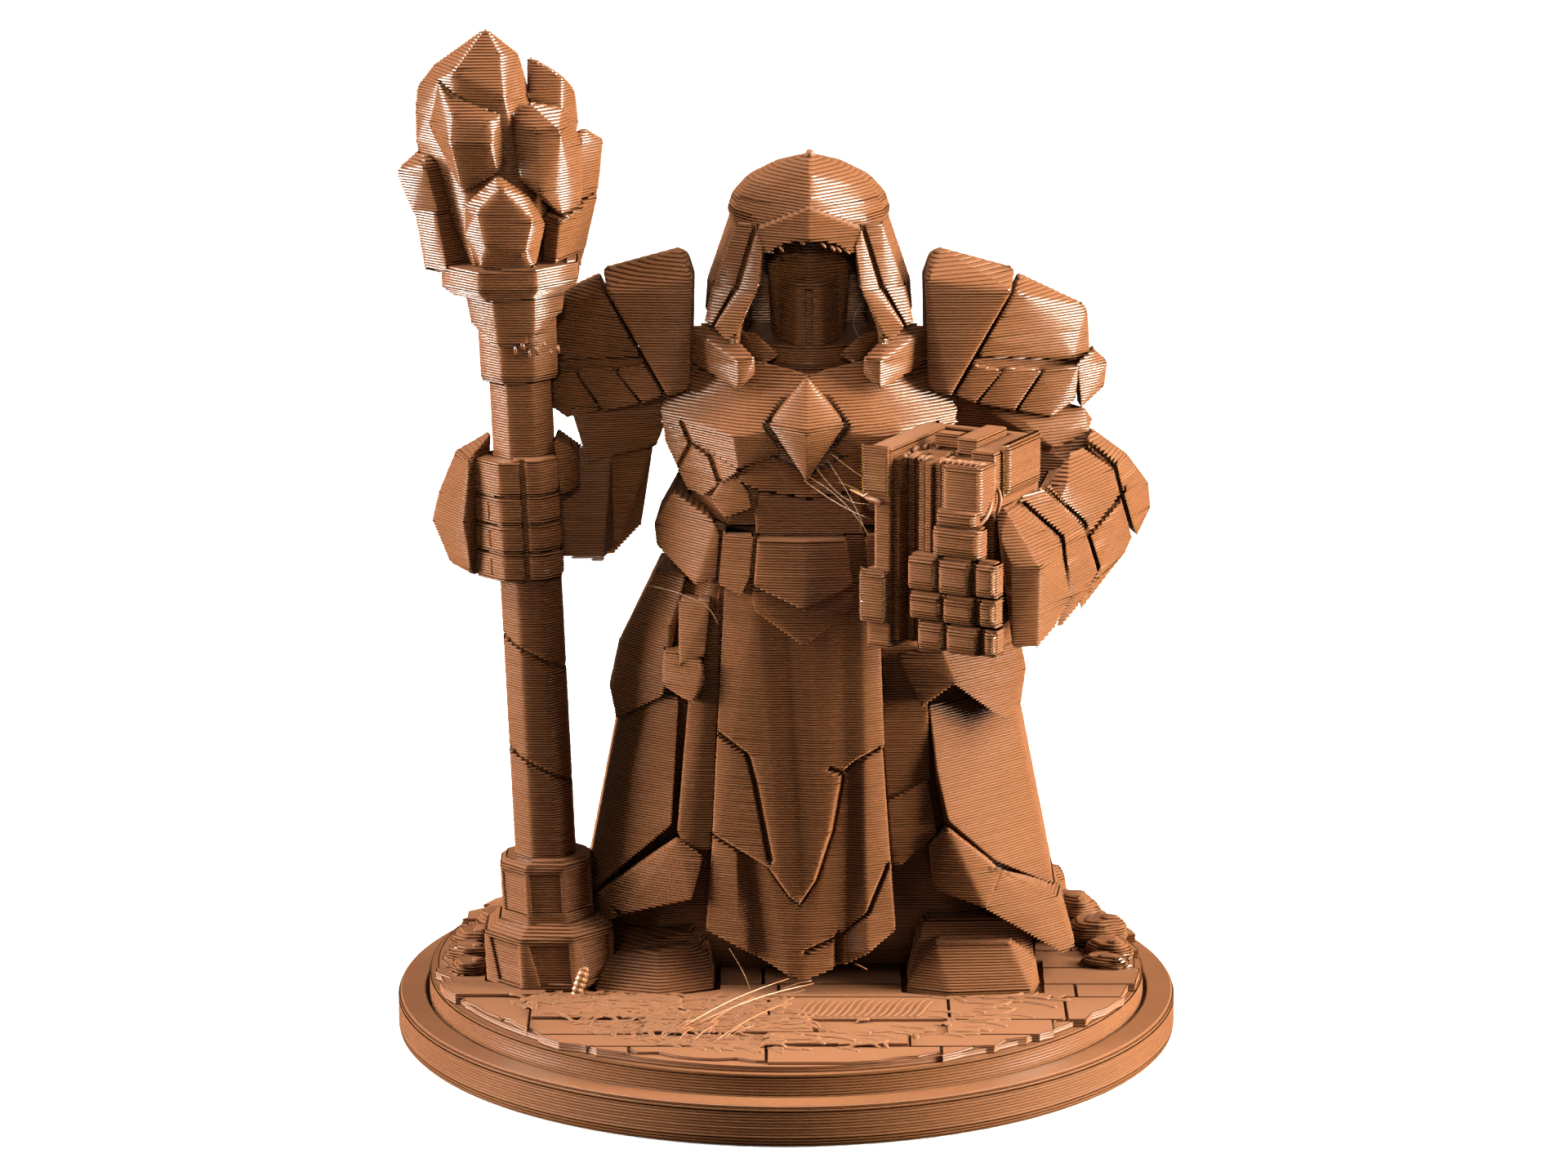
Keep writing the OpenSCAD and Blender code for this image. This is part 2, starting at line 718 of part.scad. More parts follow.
// Plates below the chest: a chevron, two ribs and a lower band
module abdomen_plates() {
    module half() {
        // chevron under the gem
        facets([
            [mid, -6, 24.4], [-0.75, -6.2, 25.35], [-1.85, -6, 24.6], [-1.9, -6, 24.2], [-1.2, -6.15, 23.9],
            [mid, -6.35, 23.6], [mid, -4.8, 24.4], [-0.75, -4.8, 25.3], [-1.9, -4.8, 24.4], [mid, -4.8, 23.6]
        ]);
        // rib
        facets([
            [-2.1, -5.8, 24.5], [-2.6, -5.5, 24.1], [-3, -5.25, 23.3], [-2.4, -5.6, 22.6], [-1.35, -6, 23.1],
            [-1.5, -6, 23.8], [-2.1, -4.6, 24.4], [-3, -4.2, 23.2], [-1.4, -4.8, 23.6],
            [-2.3, -4.6, 22.6]
        ]);
        // belly band
        facets([
            [mid, -5.95, 23.45], [-1.05, -5.95, 23.75], [-1.25, -5.9, 22.9], [-1.2, -5.8, 22],
            [mid, -5.85, 22], [mid, -4.8, 23.4], [-1.2, -4.8, 23.5], [-1.2, -4.8, 22], [mid, -4.8, 22]
        ]);
    }
    color(print_brown)
        difference() {
            union() {
                half();
                flip() half();
            }
            torso_shape();
            belt_shape();
            chest_plate_shape();
            flip() chest_plate_shape();
            chest_gem();
            belt_plate_large_shape();
            flip() belt_plate_large_shape();
            belt_plate_centre_shape();
        }
}

// Bent joints between the flank plates
module flank_joints() {
    crack([[-4.17, -4.34, 26.2], [-3.8, -4.56, 25.4], [-4.3, -3.9, 24.3]]);
    crack([[-3.8, -4.56, 25.4], [-3.65, -4.7, 25.4], [-3.02, -5.27, 25.05], [-2.7, -5.4, 24.1]]);
}

// Flank below the chest plate, on each side
module side_plates() {
    module half() {
        difference() {
            facets([
                [-4.95, -3.55, 26.2], [-2.1, -6.2, 25.5], [-1.92, -6.25, 24.62], [-2.75, -5.34, 24.05],
                [-3.3, -4.64, 23.3], [-3.95, -4.02, 23.45], [-4.35, -3.79, 24.3], [-4.85, -3.49, 25.3],
                [-4.4, -1, 26.2], [-4.2, -1, 24.2], [-3.6, -2, 23.4], [-2.2, -4.6, 25.4]
            ]);
            flank_joints();
        }
    }
    color(print_brown)
        difference() {
            union() {
                half();
                flip() half();
            }
            torso_shape();
            chest_plate_shape();
            flip() chest_plate_shape();
            abdomen_plates();
            belt_plate_large_shape();
            flip() belt_plate_large_shape();
        }
}

module neck_ring_shape() {
    translate([mid, -0.4, 28.2]) cylinder(h = 0.8, d = 5.4, $fn = 64);
}

module neck_ring() {
    color(print_brown)
        difference() {
            union() {
                neck_ring_shape();
                translate([mid, -0.4, 27.4]) cylinder(h = 0.9, d = 6.4, $fn = 64);
            }
            torso_shape();
        }
}

module collar_shape() {
    facets([
        [-3.9, -2.6, 29.7], [-2.8, -2.4, 30.1], [-3.9, -2.6, 28.3], [-2.6, -2.2, 28.6],
        [-1.9, -5.4, 28.9], [-1.2, -5.1, 29], [-1.9, -5.3, 27.7], [-1.2, -4.7, 28.2]
    ]);
    facets([
        [-2, -3, 29.8], [-1.2, -3.6, 29.7], [-0.3, -4, 28.9], [-0.9, -4, 28.5],
        [-2, -2.4, 28.6], [-0.4, -3, 28.6]
    ]);
}

module collar_right() {
    color(print_light)
        difference() {
            collar_shape();
            chest_plate_shape();
            torso_shape();
            neck_ring_shape();
        }
}

module collar_left() {
    color(print_light) flip()
        difference() {
            collar_shape();
            chest_plate_shape();
            torso_shape();
            neck_ring_shape();
        }
}

// ---------- head ----------

module helmet_shape() {
    facets(concat(
        oval(33, 0.9, -1.2, 1, 10), oval(32.3, 1.7, -1.8, 1.4, 10), oval(29, 1.5, -1.7, 1.2, 10),
        [[-0.75, -1.5, 32.1], [mid, -2.6, 31.7], [2.55, -1.5, 32.1], [mid, -2.3, 31.4]]
    ));
}

module helmet() {
    color(print_dark) helmet_shape();
}

module visor() {
    slot_w = 0.22;
    color(print_brown)
        difference() {
            facets([
                [-0.35, -1.5, 31.6], [0.4, -2.7, 31.4], [1.4, -2.7, 31.4], [2.15, -1.5, 31.6],
                [-0.3, -1.5, 29], [0.35, -2.9, 29], [1.45, -2.9, 29], [2.1, -1.5, 29]
            ]);
            helmet_shape();
            translate([mid - slot_w / 2, -4, 28.8]) cube([slot_w, 1.6, 2.5]);
        }
}

module hood_opening() {
    facets([
        [mid, -6, 33.6], [0.1, -6, 33.5], [1.7, -6, 33.5], [-0.85, -6, 32.9], [2.65, -6, 32.9],
        [-1.05, -6, 31.6], [2.85, -6, 31.6], [mid, 1.6, 33.3], [-0.95, 1.6, 32.8], [2.75, 1.6, 32.8],
        [-1.05, 1.6, 31.6], [2.85, 1.6, 31.6]
    ]);
    facets([
        [-1.05, -6, 31.7], [2.85, -6, 31.7], [-2, -6, 29.6], [3.8, -6, 29.6], [-2.2, -6, 28],
        [4, -6, 28], [-1.05, 1.6, 31.7], [2.85, 1.6, 31.7], [-1.6, 1.6, 28], [3.4, 1.6, 28]
    ]);
}

module hood_shape() {
    facets(flat_list([
        [[mid, -0.1, 36.3], [mid, -2, 35.75], [mid, -3.2, 35.1], [mid, -3.9, 34.4], [mid, -4.1, 33.7]],
        oval(35.75, 1.5, -1, 2.2), oval(35.2, 2.55, -2, 3.2), oval(34.6, 3.1, -2.7, 3.8),
        oval(34, 3.28, -3.2, 4.1), oval(33.7, 3.2, -3.3, 4.1)
    ]));
    facets(flat_list([
        oval(33.75, 3.2, -3.3, 4.1), oval(32.2, 3.7, -3.5, 4.4), oval(31.1, 4.1, -3.6, 4.5),
        oval(30, 4.2, -4.1, 4.5), [[-2.2, -4.7, 29.6], [4, -4.7, 29.6]], oval(28.1, 3.4, -2.2, 4.1)
    ]));
}

module hood() {
    color(print_brown)
        difference() {
            hood_shape();
            hood_opening();
            neck_ring_shape();
            collar_right();
            collar_left();
            torso_shape();
            chest_plate_shape();
            flip() chest_plate_shape();
        }
}

module hood_rim() {
    module half() {
        // brow
        facets([
            [mid, -4.2, 34.8], [mid, -4.6, 33.5], [-1.15, -3.6, 33.85], [-0.9, -3.95, 32.9],
            [mid, -2.4, 34.7], [mid, -2.4, 33.4], [-1.15, -2.2, 33.8], [-0.9, -2.2, 32.9]
        ]);
        // inner lapel beside the opening
        facets([
            [-1.15, -3.6, 33.85], [-0.9, -3.95, 33.2], [-1.2, -4.3, 31.3], [-1.9, -3.8, 31.4],
            [-1.15, -1.8, 33.8], [-0.9, -2.4, 33.1], [-1.2, -2.6, 31.4], [-1.9, -2.2, 31.4]
        ]);
        facets([
            [-1.9, -3.8, 31.5], [-1.15, -4.3, 31.5], [-2, -5, 29.9], [-2.3, -5, 29.6], [-2.85, -4.6, 30.1],
            [-1.9, -2.4, 31.5], [-1.15, -2.8, 31.5], [-2, -3.4, 29.9], [-2.85, -3, 30]
        ]);
        // outer lapel, set back by one step
        facets([
            [-2, -2.75, 33.9], [-1.3, -3.15, 33.9], [-2.05, -3.55, 31.5], [-2.9, -3, 31.3],
            [-2, -1.6, 33.8], [-1.3, -1.8, 33.8], [-2, -2.4, 31.5], [-2.9, -1.8, 31.3]
        ]);
        facets([
            [-2.9, -3, 31.5], [-2.05, -3.55, 31.6], [-2.95, -4.3, 30.1], [-3.25, -3.9, 30.2],
            [-2.9, -1.8, 31.5], [-2.05, -2.4, 31.6], [-2.8, -3, 30.1], [-3.1, -2.8, 30.2]
        ]);
    }
    color(print_light)
        difference() {
            union() {
                half();
                flip() half();
            }
            hood_shape();
            hood_opening();
            collar_shape();
            flip() collar_shape();
        }
}

// ---------- shoulders ----------

module pauldron_inner_shape() {
    both_ways([
        [5.5, -3.2, 31.8], [8.95, -3.15, 31.3], [6.5, -4.1, 27.2], [5.6, -3.9, 27.5],
        [6.1, -0.4, 32.5], [9.15, -0.8, 31.7], [5.7, -0.6, 32.3]
    ]);
}

module pauldron_outer_shape() {
    both_ways([
        [8.6, -2, 31.25], [9.4, -1.9, 30.85], [11.3, -0.7, 29.95], [11.7, -0.9, 29.2], [11.6, -1.3, 28.1],
        [7.3, -3.45, 28.7], [7.9, -3.2, 29.4],
        [12.1, -0.3, 29.9], [12.2, -0.6, 28.2], [9.1, -0.5, 31.5], [11.9, -0.2, 30.2]
    ], 0.4);
}

module pauldron_band_shape() {
    both_ways([[7.1, -3.7, 28.5], [8.6, -3.35, 28.1], [7.5, -3.5, 26.8], [6.6, -3.7, 27.2]]);
    both_ways([[8.7, -3.3, 28.2], [10.2, -2.7, 28], [9.1, -3, 26.4], [7.6, -3.5, 26.8]]);
    both_ways([
        [10.3, -2.65, 28], [11.7, -1.9, 28], [11.6, -1.7, 26.6], [10.6, -2.3, 26], [9.2, -2.95, 26.4]
    ]);
    both_ways([
        [11.6, -1.9, 28.1], [12.3, -1, 28.5], [12.9, -0.6, 27.9], [12.8, -0.6, 26.9], [11.8, -1.6, 26.2]
    ]);
    both_ways([[7.2, -3.2, 28.6], [12.2, -0.6, 28.2], [11.4, -1.4, 26.7], [7, -3.2, 27.1]]);
}

module pauldron_inner_left() {
    color(print_light) difference() {
        pauldron_inner_shape();
        torso_shape();
    }
}

module pauldron_outer_left() {
    color(print_brown) difference() {
        pauldron_outer_shape();
        pauldron_inner_shape();
        translate([seam_w, 0, 0]) pauldron_inner_shape();
    }
}

module pauldron_band_left() {
    color(print_light) difference() {
        pauldron_band_shape();
        pauldron_inner_shape();
        translate([seam_w, 0, 0]) pauldron_inner_shape();
        pauldron_outer_shape();
        torso_shape();
    }
}

module pauldron_inner_right() {
    flip() pauldron_inner_left();
}

module pauldron_outer_right() {
    color(print_brown) difference() {
        flip() pauldron_outer_left();
        staff_solid();
    }
}

module pauldron_band_right() {
    color(print_light) difference() {
        flip() pauldron_band_left();
        staff_solid();
    }
}

// ---------- arms and hands ----------

module left_arm_shape() {
    facets([
        [6, -2.4, 27.4], [6, 2.4, 27.2], [9.5, -2.7, 25.9], [9.7, -2.5, 24.4], [10.7, -3, 24.9],
        [12.1, -1.7, 25.2], [12.3, -1, 25.6], [12, -1.2, 26.1], [9.7, 2.4, 25.8], [9.7, 2.2, 24.6],
        [12, 1.4, 25.6], [7, -1.6, 24.6], [7, 1.8, 24.6]
    ]);
    facets([
        [9.8, -2.6, 25.2], [12, -1.7, 25.2], [12, 1.4, 25.2], [9.6, 1.6, 25.2],
        [10.2, -4, 22], [13, -4, 23.2], [13.5, -1.8, 21.4], [13.5, 1.6, 21.6], [10.4, 1.4, 21]
    ]);
    facets([
        [10.4, -3.4, 24], [12.9, -3.5, 23.9], [13.3, -2.4, 21.2], [10.4, -1.2, 20.4],
        [11.2, -5.2, 24.7], [12.8, -4.3, 23.4], [11.5, -7.3, 22.3], [11.9, -7.2, 20.7], [12, -5, 20.4],
        [9.6, -8.6, 24.1], [10.4, -9.2, 22.7], [10.7, -9, 20.4], [9.2, -9.6, 19.6]
    ]);
}

module left_arm() {
    color(print_brown) difference() {
        left_arm_shape();
        pauldron_inner_shape();
        pauldron_outer_shape();
        pauldron_band_shape();
        torso_shape();
    }
}

// Joint between the back of the hand and the cuff
module wrist_seam() {
    seam([[9.2, -10.2, 24.2], [10.73, -9.6, 22.8], [10.98, -9.6, 20.64], [10.5, -10, 19.4]]);
}

// Plates of the forearm and elbow, parted by narrow seams
module left_elbow_plates() {
    color(print_light) difference() {
        union() {
            // elbow cap
            facets([
                [12.3, -1.9, 25.4], [11.9, -3.2, 25.2], [13.1, -3.8, 24.35], [13.7, -1.5, 24.3],
                [13.45, -3.75, 23.2], [14.6, -1, 23], [14.7, -1, 22], [14.1, -1.8, 21.3], [13.9, -2.9, 21.6],
                [12.3, 1.9, 24.6], [14.3, 1.6, 22.8], [13.5, 2, 21], [14.2, -0.4, 20.7]
            ]);
            // top plate of the forearm
            facets([
                [10.1, -7.8, 24.3], [11.2, -5.4, 25.2], [11.8, -4.4, 25.2], [13.15, -3.9, 24.2],
                [13.3, -4.5, 23.4], [12, -7, 22.4], [10.6, -8, 23.7], [11, -7.5, 24.5],
                [10.4, -5.4, 22.8], [12, -3.4, 22.8]
            ]);
            // lower plate of the forearm
            facets([
                [11.9, -7.1, 22.35], [13.4, -4.3, 23.3], [13.9, -2.9, 21.3], [12.4, -6.8, 20.6],
                [13.6, -2.8, 20.6], [12.4, -5.6, 20], [11.6, -7.5, 19.4], [11.4, -8.6, 20.4],
                [11, -5, 21], [12.4, -2.4, 21.4]
            ]);
            // cuff at the wrist
            facets([
                [9, -9.9, 24.4], [10.3, -8.2, 24.6], [10.95, -8.2, 23.7], [11.85, -7.7, 22.5],
                [12.45, -7.3, 20.7], [11.3, -9.4, 20.4], [10.8, -9.9, 22.6], [10.8, -9.6, 19.3],
                [9.6, -10.4, 19.4], [9, -9.4, 22], [9.4, -9, 20]
            ]);
        }
        left_arm_shape();
        wrist_seam();
        seam([
            [10, -8.2, 24.6], [11.72, -7.4, 22.8], [12.3, -7, 20.9], [11.6, -7.8, 20], [10.95, -8.4, 18.9]
        ]);
        seam([[11.8, -6.8, 22.2], [13.5, -4.1, 23.3]]);
        seam([
            [11.5, -3.8, 25.5], [13.07, -4, 24.3], [13.35, -3.9, 23.2], [13.5, -3.5, 22.65],
            [14.1, -2.6, 20.6]
        ]);
    }
}

module left_hand_shape() {
    facets([
        [8, -11.2, 24.4], [9.1, -9.9, 24.3], [8.5, -11.6, 24.3], [10.8, -10.1, 22.8], [11.1, -10.4, 20.6],
        [10.4, -11.2, 19.6], [8.2, -12.4, 23.4], [8.6, -12.85, 22.5], [8.7, -12.75, 19.2], [9.7, -12.5, 19.1],
        [9.75, -12.7, 22.3], [8.6, -9.6, 22], [9, -9.6, 20]
    ]);
}

module left_hand() {
    color(print_brown) difference() {
        left_hand_shape();
        left_arm_shape();
        left_elbow_plates();
        wrist_seam();
        book_solid();
    }
}

// One finger lies across the fore-edge of the book in three rounded knuckle blocks, which begin at
// the given distances from the fingertip
module book_finger(rise, thick, reach, starts) {
    gap = 0.05;                             // crease between two blocks
    bulge = [0.9, 1.05, 0.92];              // how far each block stands out from the book
    on_book() translate([book_w - reach, 0, rise]) {
        translate([0.1, -0.66, 0.05]) cube([starts[3] - 0.15, 0.64, thick - 0.1]);
        for (k = [0 : 2]) {
            length = starts[k + 1] - starts[k] - gap;
            translate([starts[k], 0, 0]) hull() {
                translate([0.04, -0.6, 0.02]) cube([length - 0.08, 0.5, thick - 0.04]);
                translate([0.06, 0.16 - bulge[k], 0.08]) cube([length - 0.12, 0.3, thick - 0.16]);
                translate([0.18, -bulge[k], 0.26]) cube([length - 0.34, 0.3, thick - 0.5]);
            }
        }
    }
}

module left_fingers() {
    color(print_light) difference() {
        union() {
            book_finger(0.4, 1.17, 2.35, [0, 1.3, 2.85, 3.5]);
            book_finger(1.6, 1.1, 2.72, [0, 1.52, 3, 3.8]);
            book_finger(2.73, 1.42, 2.8, [0, 1.4, 2.9, 3.9]);
            // thumb in two steps
            on_book() hull() {
                translate([book_w - 1.75, -0.5, 4.2]) cube([2.1, 0.48, 1.2]);
                translate([book_w - 1.65, -0.8, 4.3]) cube([1.9, 0.2, 1]);
                translate([book_w - 1.4, -0.98, 4.5]) cube([1.5, 0.2, 0.65]);
            }
            on_book() hull() {
                translate([book_w - 1.65, -0.45, 5.4]) cube([1.7, 0.44, 0.6]);
                translate([book_w - 1.5, -0.75, 5.5]) cube([1.4, 0.2, 0.4]);
            }
        }
        left_hand_shape();
    }
}

module right_arm_shape() {
    facets([
        [-4.2, -2.4, 27.4], [-4.2, 2.4, 27.4], [-8.6, -2.6, 26.4], [-8.6, 2.2, 26.4],
        [-5.2, -1, 24.6], [-5.4, 1.8, 23.9], [-8, -1.6, 24], [-8, 2, 24]
    ]);
    facets([
        [-5.3, -0.4, 24.8], [-5.4, 2, 24.4], [-8, -1.4, 24.9], [-8, 2, 24.6],
        [-6, 0, 22.4], [-5.9, 2, 22.4], [-5.9, 1.6, 20.7], [-7, 0.6, 19.7], [-8.6, 0, 19.9], [-8.6, 2, 22]
    ]);
    facets([
        [-7, -1.2, 24.6], [-7.4, 1.8, 23.4], [-7, 0.4, 20.2], [-7.4, -1.2, 19.8],
        [-12, -1.4, 24.4], [-11.6, 0.4, 24], [-12, -1.4, 20.4], [-11.6, 0.4, 21]
    ]);
}

module right_arm() {
    color(print_dark) difference() {
        right_arm_shape();
        flip() pauldron_inner_shape();
        flip() pauldron_outer_shape();
        flip() pauldron_band_shape();
        torso_shape();
        staff_solid();
    }
}

module right_hand_shape() {
    facets([
        [-11.8, -2.2, 25.3], [-13.3, -1.8, 24.5], [-14, -1.6, 22.8], [-14.3, -1.6, 21.6],
        [-13.6, -2, 20], [-12.4, -2.4, 19.5], [-12.6, -3.8, 24.6], [-12.9, -3.8, 22], [-12.6, -3.6, 19.9],
        [-12, -0.4, 25], [-13.4, -0.4, 22.6], [-12.2, -0.4, 20]
    ]);
    facets([
        [-9.3, -3.4, 25.3], [-8.4, -2.8, 24.8], [-8.3, -2.6, 23.2], [-9, -3.5, 23],
        [-9.2, -1, 25.3], [-8.3, -0.8, 24.6], [-8.3, -1, 23.2]
    ]);
}

module right_hand() {
    color(print_brown) difference() {
        right_hand_shape();
        right_arm_shape();
        staff_solid();
    }
}

// Four fingers wrap the shaft: each is an octagonal collar cut to its front half
module right_fingers() {
    finger_h = 1.13;
    levels = [17.15, 18.3, 19.45, 20.6];
    groove_w = 0.16;
    color(print_light) difference() {
        for (i = [0 : 3]) on_staff() translate([-0.15, 0, levels[i]]) difference() {
            intersection() {
                octagon_drum(3.9, i == 3 ? 1.45 : finger_h);
                translate([-2.1, -3, -1]) cube([3.6, 2.7, 4]);
            }
            // crease between two knuckles, and a shorter one nearer the tip
            translate([0.05, -2.2, -0.1]) cube([groove_w, 0.5, 2]);
            if (i < 3) translate([-1.45, -2, 0.2]) cube([groove_w, 0.6, 0.7]);
        }
        staff_solid();
        right_hand_shape();
    }
}

// ---------- staff ----------

// Plain outline of everything that the staff occupies up to the cup
module staff_solid() {
    on_staff() {
        octagon_drum(pommel_w, 2.6);
        octagon_drum(3.72, 5.5);
        octagon_drum(shaft_w, 25.2);
        translate([0, 0, 25.1]) octagon_drum(3.1, 2);
        translate([0, 0, 26.7]) octagon_drum(3.9, 1.9);
    }
}

module staff_shaft() {
    wrap = 0.14;
    color(print_light)
        difference() {
            on_staff() translate([0, 0, 5.4]) octagon_drum(shaft_w, 19.7);
            for (z = [9.2, 13.9]) on_staff() translate([0, 0, z]) rotate([0, 32, 0])
                difference() {
                    cube([6, 6, wrap], center = true);
                    rotate([0, -32, 0]) cylinder(h = 6, d = shaft_w - 0.2, center = true, $fn = 8);
                }
        }
}

module staff_pommel() {
    sunk = 0.13;
    neck_w = 3.72;
    color(print_brown) on_staff() difference() {
        union() {
            octagon_drum(pommel_w - 0.7, 0.3, pommel_w);
            translate([0, 0, 0.3]) octagon_drum(pommel_w, 2.1);
            translate([0, 0, 2.4]) octagon_drum(pommel_w, 0.45, 3.9);
            translate([0, 0, 2.85]) octagon_drum(neck_w, 2.3);
            translate([0, 0, 5.15]) octagon_drum(neck_w, 0.25, 3.1);
        }
        for (a = [0 : 45 : 315]) rotate([0, 0, a]) {
            translate([0, -pommel_w / 2 + sunk, 0]) rotate([90, 0, 0]) linear_extrude(1)
                polygon([[-0.75, 2.2], [0.85, 2.15], [0.9, 0.5], [-0.35, 0.5]]);
            translate([0, -neck_w / 2 + sunk / 2, 0]) rotate([90, 0, 0]) linear_extrude(0.4)
                polygon([[-0.6, 4.9], [0.6, 4.9], [0.62, 3.3], [-0.55, 3.3]]);
        }
    }
}

module staff_sleeves() {
    color(print_brown) on_staff() {
        translate([0, 0, 25.1]) octagon_drum(2.9, 0.2, 3.1);
        translate([0, 0, 25.3]) octagon_drum(3.1, 1.5);
        difference() {
            translate([0, 0, 26.7]) octagon_drum(3.4, 1.9, 3.9);
            front_prism([[-2.4, 26], [-1, 26], [-1.05, 26.75], [-2.3, 28]]);
            front_prism([[0.5, 26], [2.4, 26], [2.4, 28.1], [1.5, 27.6], [1.1, 27.2], [0.45, 27]]);
        }
        translate([0, 0, 26.7]) octagon_drum(3.1, 1.9);
    }
}

module staff_cup() {
    color(print_light) on_staff() {
        translate([-0.15, 0, 28.6]) octagon_drum(4.3, 0.45, cup_w);
        translate([-0.15, 0, 29.05]) octagon_drum(cup_w, 0.85);
    }
}

module crystal_main_shape() {
    on_cup() facets([
        [-0.95, -0.3, 9.65], [-2.15, -1.7, 8.1], [-0.15, -2.1, 7.1], [-0.35, -1.1, 8.7], [0.35, -0.2, 8.6],
        [0.55, -0.8, 6.9], [-3.05, 0.2, 8.1], [-3.75, 0.2, 7.2], [-3.85, 0.3, 6.1], [-3.85, 0.4, 4.9],
        [-2.85, -1.1, 7.7], [-1, 2.2, 8], [-3.2, 2, 6.6], [0.4, 2, 6.6],
        [-1.4, 2.4, 0], [1.2, 1.6, 0], [-1.4, -1.6, 0], [1.2, -1.4, 0], [1.5, 1, 3.9]
    ]);
}

module crystal_left_shape() {
    on_cup() facets([
        [-2.8, -1.2, 7.65], [-3.25, -1, 5.9], [-2.15, -2.3, 6.5], [-0.85, -2.6, 6.2], [-0.15, -1.8, 6.7],
        [-0.1, -1.8, 4.4], [-1.85, -1.9, 3.2], [-2.25, -2.6, 5.3], [-0.65, -2.8, 5.3], [-0.45, -2.3, 4.2],
        [-2.4, 0.2, 4.4], [-0.2, -0.4, 4.4], [-2.6, 0, 6.6]
    ]);
}

module crystal_right_shape() {
    on_cup() facets([
        [0.75, -1.2, 6.85], [2.15, -0.6, 6.5], [1.05, -2.4, 5.9], [0.05, -1.8, 6.4], [2.85, -1, 5.2],
        [2.05, -2.2, 5.8], [2.85, -1.2, 2.7], [2.05, -2.2, 2.4], [0.45, -2.2, 3.8], [0.05, -1.8, 4.4],
        [1.25, -2.7, 3.4], [0.6, 0.4, 4.4], [2.6, 0.6, 5], [1.6, 0.6, 6]
    ]);
}

module crystal_rear_shape() {
    on_cup() facets([
        [0.6, 0.9, 8.4], [0.95, 0.4, 8.2], [2, 0.2, 7.7], [2.55, 0.9, 7], [2.65, 1.4, 5.6],
        [2, -0.1, 6.3], [0.7, -0.3, 7], [0.6, 0.5, 5], [2.4, 0.8, 4.4], [0.8, 2.4, 6], [2.2, 2.2, 5.4]
    ]);
}

module crystal_front_shape() {
    on_cup() facets([
        [-0.45, -2.5, 4.2], [-1.85, -2.3, 2.9], [-1.85, -2.3, 1.7], [-1.15, -2.4, 0.5], [0.95, -2.4, 0.5],
        [1.45, -2.3, 2.2], [0.85, -2.4, 3.3], [-0.25, -3.2, 3.7], [-1.15, -3.2, 2.8], [-0.85, -3.2, 1.4],
        [0.65, -3.2, 1.1], [0.95, -3.2, 2.4], [-1, -2, 0], [0.9, -2, 0], [-1, -1, 0], [0.8, -1, 0],
        [0, -1, 3]
    ]);
}

module crystal_block_left_shape() {
    on_cup() {
        facets([
            [-4.65, -0.2, 3.9], [-3.55, 0.5, 4.8], [-2.75, 0, 4.6], [-2.25, -0.4, 3.7], [-3.35, -1.2, 4.3],
            [-2.85, -1.3, 2.4], [-3.95, -0.5, 2.2], [-3.4, 1.6, 4.4], [-3.2, 1.4, 2.2], [-1.4, 0, 2.2]
        ]);
        facets([
            [-3.85, -0.5, 2.3], [-2.95, -1.4, 2.5], [-2.5, -1.5, 0], [-3.5, -0.6, 0], [-3, 1.6, 0],
            [-3.4, 1.6, 2.35], [-1.2, 0, 0], [-1.2, 0, 2.35]
        ]);
    }
}

module crystal_block_right_shape() {
    on_cup() {
        facets([
            [2.95, 0.6, 5.5], [3.65, 1.3, 4.95], [3.4, 1.3, 3.2], [3.4, 0.9, 2.9], [2.2, -0.9, 2.6],
            [1.2, 2.4, 4.6], [2.6, 2.6, 4.4], [1.4, 2.4, 2.4], [2.7, 2.5, 2.6], [1, 0, 3], [2.4, 0.2, 5.3]
        ]);
        facets([
            [3.45, 0.9, 2.9], [2.95, 0.7, 0.8], [2.7, 0.5, 0], [1.95, -1.8, 2.2], [1.7, -1.8, 0],
            [2.6, -0.9, 2.3], [1.2, 2.4, 2.5], [2.4, 2.3, 2.6], [1.2, 2.2, 0], [2.2, 2, 0],
            [0.6, 0, 0], [0.6, 0, 2]
        ]);
    }
}

module crystal_main() {
    color(print_brown) difference() {
        crystal_main_shape();
        staff_cup();
    }
}

module crystals_upper() {
    color(print_light) difference() {
        union() {
            crystal_left_shape();
            crystal_right_shape();
            crystal_rear_shape();
        }
        crystal_main_shape();
    }
}

module crystals_lower() {
    color(print_brown) difference() {
        union() {
            crystal_front_shape();
            crystal_block_left_shape();
            crystal_block_right_shape();
        }
        crystal_main_shape();
        crystal_left_shape();
        crystal_right_shape();
        crystal_rear_shape();
        staff_cup();
    }
}

// ---------- book ----------

module book_solid() {
    on_book() cube([book_w, book_d, book_h]);
}

// The page block has a ribbed fore-edge with a deep gap beside the first cover
module book_pages() {
    rib = 0.34;
    ribs_sunk = [0, 0.6, 0.6, 0.14, 0, 0.14, 0.04, 0.16];
    color(print_light) on_book() {
        translate([cover, 0.95, 0.3]) cube([book_w - 2 * cover, book_d - 1.4, book_h - 0.7]);
        for (i = [0 : len(ribs_sunk) - 1])
            translate([cover + i * rib, 0.2 + ribs_sunk[i], 0.3])
                cube([rib - 0.06, 0.9 - ribs_sunk[i], book_h - 0.7]);
    }
}

